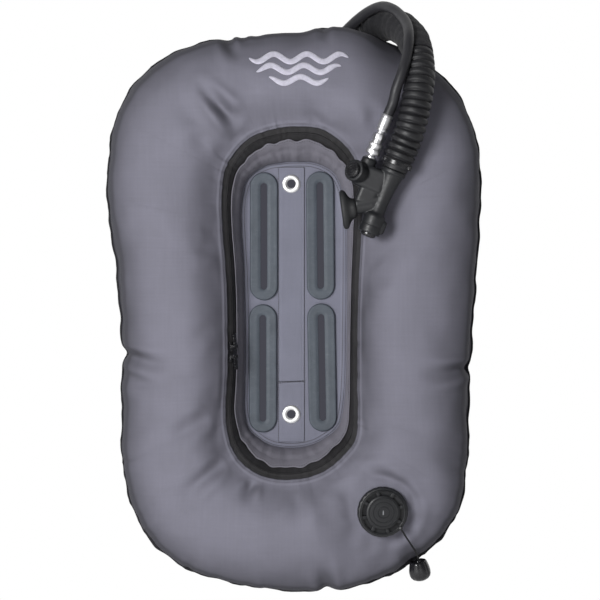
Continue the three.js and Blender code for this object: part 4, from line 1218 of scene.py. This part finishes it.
EYELET_RING = [
    (5.35, 3.2), (5.5, 3.75), (6.3, 4.35), (7.8, 4.6), (9.4, 4.45), (10.6, 4.0), (11.2, 3.4),
    (11.3, 3.0), (7.4, 3.0), (6.2, 2.9), (6.2, -3.2), (7.8, -3.3), (7.8, -4.0), (7.0, -4.3),
    (6.0, -4.1), (5.35, -3.2),
]
EYELET_WASHER = [(6.6, -2.2), (10.1, -2.15), (10.5, -2.4), (10.5, -2.8), (10.1, -3.0), (6.6, -3.05)]


def make_eyelets():
    for name, z in EYELET_HEIGHTS.items():
        place = place_of((0, MID_PLANE, z * MM), (0, -1, 0))
        ring = turned(f"eyelet_ring_{name}", EYELET_RING, place, "steel", 72)
        piece(ring, "eyelet_steel", f"eyelet_{name}")
        washer = turned(f"eyelet_back_washer_{name}", EYELET_WASHER, place, "steel", 64)
        piece(washer, "eyelet_steel", f"eyelet_washer_{name}")


make_panel()
make_eyelets()

# ---------------------------------------------------------------- dump valve


def lobed(count, depth, power, above):
    """A change of radius for turned(): grooves round what is wider than a radius."""

    def shape(angle, radius):
        groove = depth * (0.5 + 0.5 * math.cos(count * angle)) ** power
        return radius - groove if radius > above else radius

    return shape


def make_dump():
    base = [(15.6, -2.5), (29.0, -1.6), (30.2, -0.6), (30.6, 1.5), (30.6, 6.0), (30.1, 7.6),
            (28.9, 8.5), (27.7, 8.7), (27.1, 8.2), (26.9, 5.0), (21.5, 4.6), (15.6, 4.4)]
    ring = turned("dump_outer_ring", base, DUMP, segments=192, shape=lobed(24, 0.45, 6, 30))
    piece(ring, "black_plastic", "dump_housing")
    disc = [(0, 11.2), (6, 11.25), (6.5, 11.75), (7.2, 11.75), (7.7, 11.25), (11.6, 11.1),
            (12.1, 11.6), (12.8, 11.6), (13.3, 11.05), (16.6, 10.8), (17.1, 11.3), (17.8, 11.3),
            (18.3, 10.7), (19.6, 10.4), (20.4, 9.7), (20.5, 8.6), (20.2, 6.0), (14.2, 6.4),
            (13.6, 9.9), (0, 9.9)]
    face = turned("dump_cap_disc", disc, DUMP, segments=96)
    turns = [spun(TAU * (i + 0.35) / 8) for i in range(8)]
    size, middle = (8.6, 4.4, 4.6), (23.6, 0, 5.9)
    ribs = [block(size, middle, turn, DUMP, edge=0.7, segments=2) for turn in turns]
    collar = [(25.6, 8.0), (26.9, 8.0), (26.95, 9.0), (26.4, 9.4), (25.9, 9.2)]
    hoop = turned("dump_window_hoop", collar, DUMP, segments=96)
    piece(joined("dump_cap_cage", face, hoop, *ribs), "black_plastic", "dump_cap")
    # painted highlight: a small light grey pin on the cap's centre stands for its glint
    pin = block((1.5, 5.4, 1.0), (0, 0, 11.05), DUMP, material="pin", edge=0.3, segments=2)
    piece(pin, "spring_steel").name = "dump_cap_painted_highlight"
    seat = [(15.7, -2.9), (24.5, -2.6), (28.5, -2.2), (28.8, -1.7), (15.7, -1.9)]
    piece(turned("dump_flange_gasket", seat, DUMP, "rubber", 96), "seal_rubber", "dump_gasket")


def make_knob():
    profile = [(0, 12.2), (2.0, 12.2), (2.6, 11.2), (6.4, 10.6), (8.0, 11.6), (9.4, 11.9),
               (10.3, 11.2), (10.9, 9.6), (11.9, 6.4), (12.9, 2.4), (13.3, -1.4), (13.0, -4.8),
               (11.9, -7.8), (9.8, -10.2), (6.6, -11.9), (3.0, -12.7), (0, -12.9)]

    def fluted(angle, radius):
        groove = 0.035 * (0.5 + 0.5 * math.cos(8 * angle)) ** 3
        return radius * (1 - groove) if radius > 7 else radius

    place = place_of(KNOB_AT, (-0.16, -0.3, 0.94), (0, 1, 0))
    knob = turned("dump_pull_knob", profile, place, "gloss", 96, fluted)
    piece(knob, "black_plastic", "dump_knob", body="dump_knob")
    line = np.array(CORD_PATH) * MM + MIDDLE
    path, run = even_path(line, 0.8 * MM)
    radius = 1.05 * MM + 0.12 * MM * np.sin(run / (0.55 * MM))
    cord = sweep("dump_pull_cord", path, radius, "cord", 14, run)
    piece(cord, "cord_fabric", "dump_cord", body=None)
    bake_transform(cord)
    knot = [(0, 3.4), (1.6, 3.2), (2.5, 2.2), (2.8, 0.6), (2.3, -0.9), (1.2, -1.8), (0, -2.0)]
    tied = turned("dump_cord_grommet", knot, place_of(line[0], (-0.3, -0.9, 0.2)), "plastic", 32)
    piece(tied, "black_plastic")


make_dump()
make_knob()

# ---------------------------------------------------------------- elbow and hoses

INFLATOR = Matrix((
    (0.92521, 0, 0.37946, 0.129), (0, 1, 0, -0.0821), (-0.37946, 0, 0.92521, 0.168), (0, 0, 0, 1)
))


def hose_line(path, tail):
    """A hose's line, with its last points given in the inflator's frame."""
    return np.vstack([np.array(path) * MM + MIDDLE, placed(tail, INFLATOR)])


HOSE_LINE = hose_line(HOSE_PATH, [(0, 0, 16), (0, 0, -14)])
LP_LINE = hose_line(LP_PATH, [(-32, 0, 60), (-32, 0, 46), (-32, 0, 25)])
HOSE_BEND = ((147, -24, 311), (150.5, -80, 238))  # two places in millimetres along a hose, passed to bend_along
LP_BEND = ((136, -28, 336), (130, -84, 264))
WRAP_ENDS = ((104, 58, 329), (153, -48, 292))
CUFF_RADIUS, WRAP_RADIUS, LP_RADIUS, ELBOW_RADIUS = 15.4 * MM, 19.5 * MM, 6.4 * MM, 13.3 * MM
RIB_PITCH, RIB_FOOT, RIB_HEIGHT = 9.2 * MM, 15.6 * MM, 3.1 * MM


def runs_near(path, run, ends):
    """Distances along a path of its points nearest to two places in millimetres."""
    return [run[np.argmin(np.linalg.norm(path - np.array(end) * MM, axis=1))] for end in ends]


def bend_along(obj, low, high):
    """Bakes a hose's transform into its mesh; it does not bend it. The low and high places are not
    used.
    """
    along = np.empty(len(obj.data.vertices), np.float32)
    obj.data.attributes["along"].data.foreach_get("value", along)
    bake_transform(obj)


def make_hoses():
    path, run = even_path(HOSE_LINE, 0.9 * MM)
    crest = np.abs(np.cos(PI * run / RIB_PITCH)) ** 0.9
    ends = smooth_step(np.minimum(run, run[-1] - run) / (14 * MM))
    ribbed = RIB_FOOT + RIB_HEIGHT * smooth_step(crest * 1.15)
    radius = CUFF_RADIUS + (ribbed - CUFF_RADIUS) * smooth_step(ends * 2)
    hose = sweep("corrugated_hose_ribs", path, radius, "hose", 40, run, sharp=80)
    bend = runs_near(path, run, HOSE_BEND)
    bend_along(piece(hose, "hose_rubber", "corrugated_hose", body=None), *bend)

    low, high = runs_near(path, run, WRAP_ENDS)
    inside = (run >= low) & (run <= high)
    place = (run[inside] - low) / (high - low)
    swell = WRAP_RADIUS + 0.35 * MM * np.sin(run[inside] / (6.5 * MM))
    swell += 0.25 * MM * np.sin(run[inside] / (2.3 * MM))
    swell -= 1.1 * MM * (bump_at(place, 0.03) + bump_at(place - 1, 0.03))
    wrap = sweep("hose_wrap", path[inside], swell, "wrap", 48, run[inside])
    bend_along(piece(wrap, "hose_rubber", body=None), *bend)

    path, run = even_path(LP_LINE, 1.2 * MM)
    hose = sweep("low_pressure_hose", path, LP_RADIUS, "lp_hose", 24, run, sharp=80)
    bend_along(piece(hose, "hose_rubber", "lp_hose", body=None), *runs_near(path, run, LP_BEND))


def painted(node, name):
    """A CAD node that keeps its shape and gets a procedural material."""
    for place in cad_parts[node].material_slots:
        place.link = "OBJECT"
        place.material = MATERIALS[name]


def make_port():
    nut = [(15.7, 1.8), (24.0, 1.8), (25.4, 2.6), (25.9, 3.8), (25.9, 8.6), (25.3, 9.8),
           (24.1, 10.4), (20.6, 10.5), (20.3, 10.2), (20.3, 6.4), (15.7, 6.4)]
    ring = turned("port_union_nut", nut, PORT, segments=192, shape=lobed(12, 1.1, 4, 24.2))
    piece(ring, "black_plastic", "elbow_nut")
    for node in ("port_base", "dump_base", "dump_poppet", "center_stiffener"):
        painted(node, "plastic")
    for node in ("port_gasket", "dump_seal"):
        painted(node, "rubber")


def make_elbow():
    corner = PORT_AT + 36 * MM * PORT_OUT
    start = HOSE_LINE[0]
    out = unit(start - corner)
    bend = [PORT_AT + h * MM * PORT_OUT for h in (7.0, 15.0, 25.0)]
    bend += [corner - 2.2 * MM * PORT_OUT + 3.0 * MM * out]
    bend += [corner + 9 * MM * out, start - 3 * MM * out]
    path, run = even_path(np.array(bend), 0.8 * MM)
    share = run / run[-1]
    rolls = bump_at(share - 0.18, 0.03) + bump_at(share - 0.9, 0.05)
    radius = ELBOW_RADIUS + 0.8 * MM * rolls
    pipe = sweep("elbow_pipe", path, radius, "plastic", 48)
    flange = [(0, 6.6), (18.8, 6.6), (19.3, 7.2), (19.3, 8.6), (18.6, 9.2), (15.5, 9.8),
              (14.4, 11.5), (0, 11.5)]
    foot = turned("elbow_foot", flange, PORT, segments=72)
    web = block((3.2, 20, 14), (0, 0, 20), PORT @ spun(0.8), edge=1.2)
    body = moulded("elbow_moulding", 0.8 * MM, 6, pipe, foot, web)
    piece(body, "black_plastic", "elbow", body="elbow")

    path, run = even_path(HOSE_LINE, 0.5 * MM)
    k = int(np.searchsorted(run, 12 * MM))
    place = place_of(path[k], unit(path[k + 1] - path[k]))
    band = [(18.4, -4.5), (19.6, -4.5), (19.9, -4.1), (19.9, 4.1), (19.6, 4.5), (18.4, 4.5)]
    clamp = turned("elbow_clamp_band", band, place, "steel", 96)
    screw = block((9, 5.5, 7), (0, 20.6, 0), place, material="steel", edge=0.8)
    head = drum(2.6, -7.5, -3, place @ moved(0, 20.8, 0) @ spun(PI / 2, "Y"), "steel", 24)
    clamp = joined("elbow_clamp_assembly", clamp, screw, head)
    piece(clamp, "clamp_steel", "elbow_clamp", body="elbow")

    place = place_of(LP_LINE[0], unit(LP_LINE[0] - LP_LINE[1]), (1, 0, 0))
    sleeve = [(6.2, -15), (7.0, -15), (7.15, -14.4), (7.15, -11.5), (6.75, -11), (6.75, -9.5),
              (7.15, -9), (7.15, -5), (6.75, -4.5), (6.75, -3), (7.15, -2.5), (7.15, -0.9),
              (6.2, -0.6)]
    ferrule = turned("hose_end_ferrule", sleeve, place, "chrome", 48)
    piece(ferrule, "fitting_chrome", "lp_end_ferrule", body="elbow")
    flats = [(0, 0.4), (7.4, 0.4), (8.4, 1.2), (8.4, 8.2), (7.4, 9), (0, 9)]
    hexagon = turned("hose_end_hexagon", flats, place, "chrome", 6)
    threads = [(4.15 + 0.5 * (i % 2), 9 + 0.5 * i) for i in range(17)]
    stud = [(0, 8.6)] + threads + [(3.2, 18), (1.8, 18), (1.8, 10), (0, 10)]
    stud = turned("hose_end_stud", stud, place, "chrome", 40)
    fitting = joined("hose_end_fitting", bevelled(hexagon, 0.4 * MM), stud)
    piece(fitting, "fitting_chrome", "lp_end_fitting", body="elbow")


make_hoses()
make_port()
make_elbow()

# ---------------------------------------------------------------- inflator

BUTTON = Matrix((
    (0.74017, 0.37946, -0.55513, 0.074381), (-0.6, 0, -0.8, -0.0976),
    (-0.30356, 0.92521, 0.22767, 0.154733), (0, 0, 0, 1),
))
MOUTH = Matrix((
    (0, -0.13155, -0.99131, 0.068681), (-1, 0, 0, -0.0821),
    (0, 0.99131, -0.13155, 0.107893), (0, 0, 0, 1),
))
DEFLATE = INFLATOR @ moved(0, 0, -96) @ spun(PI, "X")
CONNECTOR = INFLATOR @ moved(-32, 0, 0)


def on_inflator(obj, slot, node, body="inflator"):
    return piece(obj, slot, node, body=body)


def rod_between(a, b, radius):
    a, b = placed([a, b], INFLATOR)
    path, _ = even_path(np.array([a, (a + b) / 2, b]), 1 * MM)
    return sweep("rod", path, radius * MM, "plastic", 40)


def make_inflator():
    barrel = [(0, -96), (12.2, -96), (13.0, -95.2), (13.3, -93.5), (13.3, -86.6), (12.8, -86),
              (12.8, -84.6), (13.3, -84), (13.3, -75), (12.6, -72.6), (10.6, -71), (9.6, -69),
              (9.3, -64), (9.4, -54), (10.2, -44), (12.0, -30), (13.6, -21), (15.0, -20),
              (15.6, -19.2), (15.6, -15.2), (15.0, -14.4), (11.6, -14.3), (11.5, 9), (0, 9)]
    boss = [(0, -24), (9.4, -24), (9.2, -14), (8.4, -12.2), (0, -12.2)]
    collar = [(0, -17), (12.4, -16), (13.1, -12), (13.2, -1), (12.7, -0.2), (11.4, 0.0), (0, 0)]
    parts = [
        turned("barrel", barrel, INFLATOR, segments=80),
        block((40, 20, 29), (-23, 0, -34), INFLATOR, edge=4.5),
        block((26, 16, 42), (-18, 0, -46), INFLATOR, edge=5.5),
        turned("boss", boss, CONNECTOR, segments=48),
        turned("collar", collar, BUTTON, segments=72),
        rod_between((-6, 0, -63), (-32.4, 0, -78.2), 8.1),
        rod_between((-3, 0, -54), (-27, 0, -70), 8.6),
        block((9, 12, 17), (12.5, 0, -84), INFLATOR, edge=3.4),
    ]
    body = moulded("inflator_moulding", (0.75) * MM, 5, *parts)
    carved(body, drum(9.95, -9, 2, BUTTON), drum(10.2, -0.5, 12, DEFLATE @ spun(PI, "X")))
    on_inflator(body, "black_plastic", "inflator_body")

    clip = [(18.0, -8.6), (18.9, -8.6), (19.2, -8.2), (19.2, -3.8), (18.9, -3.4), (18.0, -3.4)]
    band = turned("cuff_clamp", clip, INFLATOR, "gloss", 96)
    lug = block((5, 4.6, 5.0), (0, -19.6, -6), INFLATOR @ spun(0.9), material="gloss", edge=0.8)
    on_inflator(joined("cuff_clamp_band", band, lug), "black_plastic", "inflator_clamp")

    inflate = [(0, 4.0), (1.6, 4.0), (2.1, 4.45), (2.7, 4.45), (3.2, 4.0), (4.4, 4.0), (4.9, 4.45),
               (5.5, 4.45), (6.0, 4.0), (7.2, 3.9), (8.6, 3.5), (9.3, 2.6), (9.5, 1.4), (9.5, -4),
               (8.2, -4), (8, -1), (0, -1)]
    deflate = [(0, 4.1), (2.4, 4.1), (2.9, 4.6), (3.6, 4.6), (4.1, 4.1), (5.6, 4.0), (6.1, 4.5),
               (6.8, 4.5), (7.3, 3.9), (8.9, 3.5), (9.6, 2.6), (9.8, 1.4), (9.8, -5), (8.4, -5),
               (8.2, -1.5), (0, -1.5)]
    for name, cap, place in (("inflate", inflate, BUTTON), ("deflate", deflate, DEFLATE)):
        button = turned(f"{name}_push_button", cap, place, "gloss", 72)
        on_inflator(button, "black_plastic", f"{name}_button", f"{name}_button")


# The mouthpiece: half width, half height and distance along its axis, up the outside and back in.
MOUTHPIECE = [
    (8.4, 8.4, -9), (10.6, 10.8, -9), (11.2, 11.6, -8.2), (11.2, 12.4, -5.4), (10.9, 13.4, -3.6),
    (11.0, 15.4, -1.6), (11.4, 18.4, 0.0), (11.9, 21.4, 1.4), (12.5, 23.2, 3.2), (12.6, 23.8, 5.0),
    (12.4, 23.4, 6.8), (11.6, 21.8, 8.2), (10.2, 18.6, 8.6), (8.2, 14.4, 7.8), (6.2, 10.5, 6.8),
    (5.2, 9.0, 5.2), (5.0, 8.4, 1.0), (5.3, 5.3, 0.6), (8.4, 8.4, 0.6),
]


def make_mouthpiece():
    """A rubber sleeve over the oral tube that opens to an oval lip flange."""
    turn = np.arange(72) * TAU / 72
    around = np.stack([np.cos(turn), np.sin(turn), np.ones(72)], axis=1)
    rings = np.array(MOUTHPIECE)[:, None] * around * MM
    obj = lofted("mouthpiece_rubber", rings, "rubber", 60)
    obj.data.transform(MOUTH)
    on_inflator(outward(obj), "hose_rubber", "mouthpiece")


def make_connector():
    nipple = [(1.7, -18.6), (3.9, -18.6), (3.9, -11.8), (6.2, -11.8), (6.5, -11.4), (6.5, -9.9),
              (6.1, -9.4), (4.2, -8.8), (4.0, -8), (4.0, -4.4), (4.4, -3.2), (4.4, 3.8), (1.7, 3.8)]
    nipple = turned("quick_nipple", nipple, CONNECTOR, "chrome", 48)
    on_inflator(nipple, "fitting_chrome", "qd_nipple")
    tube = [(4.8, -7), (6.2, -7), (6.3, -6.6), (6.3, 12), (4.8, 12)]
    neck = [(0, 11.8), (6.3, 11.8), (6.3, 13), (5.0, 18.6), (4.9, 22.6), (0, 22.6)]
    flats = [(0, 11.7), (6.7, 11.7), (7.5, 12.4), (7.5, 18.8), (6.7, 19.5), (0, 19.5)]
    barrel = turned("coupler_barrel", tube, CONNECTOR, "chrome", 48)
    neck = turned("coupler_neck", neck, CONNECTOR, "chrome", 48)
    hexagon = bevelled(turned("coupler_hexagon", flats, CONNECTOR, "chrome", 6), 0.35 * MM)
    on_inflator(joined("quick_coupler", barrel, neck, hexagon), "fitting_chrome", "qd_coupler")
    sleeve = [(6.6, -6.4), (7.8, -6.4), (8.3, -6.1), (8.6, -5.4), (8.6, -1.8), (8.3, -1.0),
              (7.8, -0.6), (7.6, 0.8), (7.8, 2.5), (8.3, 3.0), (8.6, 3.7), (8.6, 6.0), (8.2, 7.0),
              (7.6, 7.4), (6.6, 7.4)]
    sleeve = turned("quick_sleeve", sleeve, CONNECTOR, "chrome", 168, lobed(28, 0.28, 1, 8.4))
    on_inflator(sleeve, "fitting_chrome", "qd_sleeve", "qd_sleeve")
    ferrule = [(6.2, 23.2), (6.9, 23.2), (7.1, 23.8), (7.1, 25.6), (6.5, 26.2), (6.5, 27.2),
               (7.1, 27.8), (7.1, 38.6), (6.5, 39.2), (6.5, 40.2), (7.1, 40.8), (7.0, 43.4),
               (6.6, 44), (6.2, 44)]
    ferrule = turned("hose_ferrule", ferrule, CONNECTOR, "chrome", 64)
    on_inflator(ferrule, "fitting_chrome", "lp_ferrule")


def coil_spring(node, body, place, joint, radius, wire, turns, low, high, keep, seat):
    """A wire spring between two local heights."""
    share = np.linspace(0, 1, int(turns * 28))
    rise = np.clip((share - 0.12) / 0.76, 0, 1)
    height = low + wire + (high - low - 2 * wire) * (0.25 * smooth_step(rise) + 0.75 * rise)
    turn = TAU * turns * share
    points = np.stack([radius * np.cos(turn), radius * np.sin(turn), height], axis=1)
    obj = sweep(f"{node}_wire", placed(points, place), wire * MM, "steel", 10)
    piece(obj, "spring_steel", node, body=body)
    tuple(np.array(place)[:3, 2])
    tuple(placed((0, 0, seat), place))
    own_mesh(obj)


make_inflator()
make_mouthpiece()
make_connector()
for node, body, place, joint, *sizes in (
    ("dump_spring", "wing", DUMP, "dump_lift", 7, 0.55, 5, 0.8, 9.8, 0.54, 9.8),
    ("inflate_spring", "inflator", BUTTON, "inflate_press", 6, 0.42, 4.5, -8.7, -1.1, 0.58, -8.7),
    ("deflate_spring", "inflator", DEFLATE, "deflate_press", 6, 0.45, 5, -11.7, -1.6, 0.63, -11.7),
):
    coil_spring(node, body, place, joint, *sizes)

# ---------------------------------------------------------------- zip sliders


def softened_copy(node, name, width):
    """A CAD node's own shape with its edges rounded."""
    obj = link(bpy.data.objects.new(name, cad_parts[node].data.copy()))
    obj.data.materials.clear()
    obj.data.materials.append(MATERIALS["gloss"])

    def change(b):
        bmesh.ops.remove_doubles(b, verts=b.verts, dist=0.01 * MM)
        bmesh.ops.dissolve_limit(b, angle_limit=0.03, verts=b.verts, edges=b.edges)

    piece(bevelled(edit_mesh(obj, change), width, 2, 30), "zip_plastic", node, body=node)


for end in ("upper", "lower"):
    softened_copy(f"zip_slider_{end}", f"slider_{end}_body", 0.32 * MM)
    softened_copy(f"zip_pull_{end}", f"slider_{end}_pull", 0.3 * MM)

# ---------------------------------------------------------------- embroidered waves

WAVES = ((60, 4.6), (51, 4.2), (36, 3.8))  # half length and height of each
WAVE_LENGTH, WAVE_TOP, WAVE_GAP = 40, 13.2, 13.4
WAVE_HALF_WIDTH, WAVE_TAPER = 3.5, 13
WAVE_ROWS = 9


def make_emblem():
    """Three stacked waves in silver satin stitch, lying on the cloth."""
    shell = bpy.data.objects["shell_front_cloth"]
    tree = BVHTree.FromObject(shell, bpy.context.evaluated_depsgraph_get())
    vertices, faces, uv = [], [], []
    for level, (reach, rise) in enumerate(WAVES):
        x = np.linspace(-reach, reach, 220)
        z = WAVE_TOP - WAVE_GAP * level + rise * np.sin(x * TAU / WAVE_LENGTH + 0.6 * level)
        half = WAVE_HALF_WIDTH * np.clip((reach - np.abs(x)) / WAVE_TAPER, 0, 1) ** 0.5 + 0.05
        line = pairs(x, z) + EMBLEM_AT
        way = unit(np.gradient(line, axis=0))
        side = pairs(-way[:, 1], way[:, 0])
        run = run_of(line)
        base = len(vertices)
        for i in range(len(x)):
            for s in np.linspace(-1, 1, WAVE_ROWS):
                px, pz = line[i] + side[i] * half[i] * s
                hit = tree.ray_cast(Vector((px * MM, -0.5, pz * MM)), Vector((0, 1, 0)))[0]
                dome = 0.15 + 0.75 * math.sqrt(max(0.0, 1 - s * s))
                vertices.append((px * MM, hit.y - dome * MM, pz * MM))
                uv.append((run[i] * MM, s * half[i] * MM))
        faces += [tuple(base + k for k in quad) for quad in grid_faces(len(x), WAVE_ROWS)]
    waves = mesh_object("embroidered_waves", vertices, faces, "silver", 80, uv)
    piece(solid_cloth(point_faces_out(waves, -1), EMBROIDERY), "shell_fabric")


make_emblem()

# ---------------------------------------------------------------- stage, light and camera

FLOOR_REACH, FLOOR_HEIGHT = 11, -0.9
SHADE_DEPTH, SHADE_SPAN = 0.02, (-0.052, 0.055, -0.165, 0.155)  # the card behind the slots
KEY_AT, KEY_SIZE, KEY_POWER = (-1.45, -2.8, 0.45), 1.4, 86
LENS, SENSOR = 400, 36
SEEN_WIDTH = 0.726  # of the picture, at the front of the shell
CAMERA_AT = (0.0105, -SEEN_WIDTH * LENS / SENSOR - 0.02, -0.0012)


def stage_card(name, m, left, right, start, end, place):
    """A flat card of the stage between two corners. place(u, v) puts a corner in space."""
    mesh = bpy.data.meshes.new(name)
    corners = [place(*at) for at in ((left, start), (right, start), (right, end), (left, end))]
    mesh.from_pydata(corners, [], [(0, 1, 2, 3)])
    mesh.materials.append(m.owner)
    link(bpy.data.objects.new(name, mesh))


def make_stage():
    m = material("slot_shade")  # seen by the camera from the front, and by nothing else
    hidden = m.maths("SUBTRACT", 1.0, m.node("ShaderNodeLightPath", out="Is Camera Ray"))
    hidden = m.maths("MAXIMUM", hidden, m.node("ShaderNodeNewGeometry", out="Backfacing"))
    glow = m.node("ShaderNodeEmission", srgb(70, 70, 78), 1.0)
    mix = m.node("ShaderNodeMixShader", hidden, glow, m.node("ShaderNodeBsdfTransparent"))
    m.put(m.tree.nodes["Material Output"].inputs["Surface"], mix)
    stage_card("slot_shade", m, *SHADE_SPAN, lambda x, z: (x, SHADE_DEPTH, z))

    m = material("pale_floor")
    tone = m.range(m.noise(m.place(), 3), 0.3, 0.7, 0.98, 1.02)
    m.set(Base_Color=m.shade((0.86, 0.86, 0.86, 1), tone), Roughness=0.9)
    seen = m.node("ShaderNodeLightPath", out="Is Camera Ray")  # the camera sees the floor lifted
    m.set(Emission_Color=(1, 1, 1, 1), Emission_Strength=m.times(seen, 0.3))
    reach = FLOOR_REACH
    stage_card("floor", m, -reach, reach, -reach, reach, lambda x, y: (x, y, FLOOR_HEIGHT))


def make_light_and_camera():
    scene = bpy.context.scene
    scene.world = bpy.data.worlds.new("studio")
    m = Recipe(scene.world)
    # The room is bright behind the wing and dim in front. The camera sees plain white all round.
    room = m.range(m.part(m.place("Generated"), "Y"), -0.15, 0.35, 0.1, 0.9)
    seen = m.node("ShaderNodeLightPath", out="Is Camera Ray")
    m.set(Color=(1, 1, 1, 1), Strength=m.maths("MAXIMUM", seen, room))

    data = bpy.data.lights.new("key", "AREA")
    data.shape = "DISK"
    data.size, data.energy = KEY_SIZE, KEY_POWER
    light = link(bpy.data.objects.new("key", data))
    light.location = KEY_AT
    light.rotation_euler = (-Vector(KEY_AT)).to_track_quat("-Z", "Y").to_euler()

    data = bpy.data.cameras.new("camera")
    data.lens, data.sensor_width, data.clip_end = LENS, SENSOR, 50
    camera = link(bpy.data.objects.new("camera", data))
    camera.location = CAMERA_AT
    camera.rotation_euler = (PI / 2, 0, 0)
    scene.camera = camera
    scene.view_settings.view_transform = "Standard"


make_stage()
make_light_and_camera()
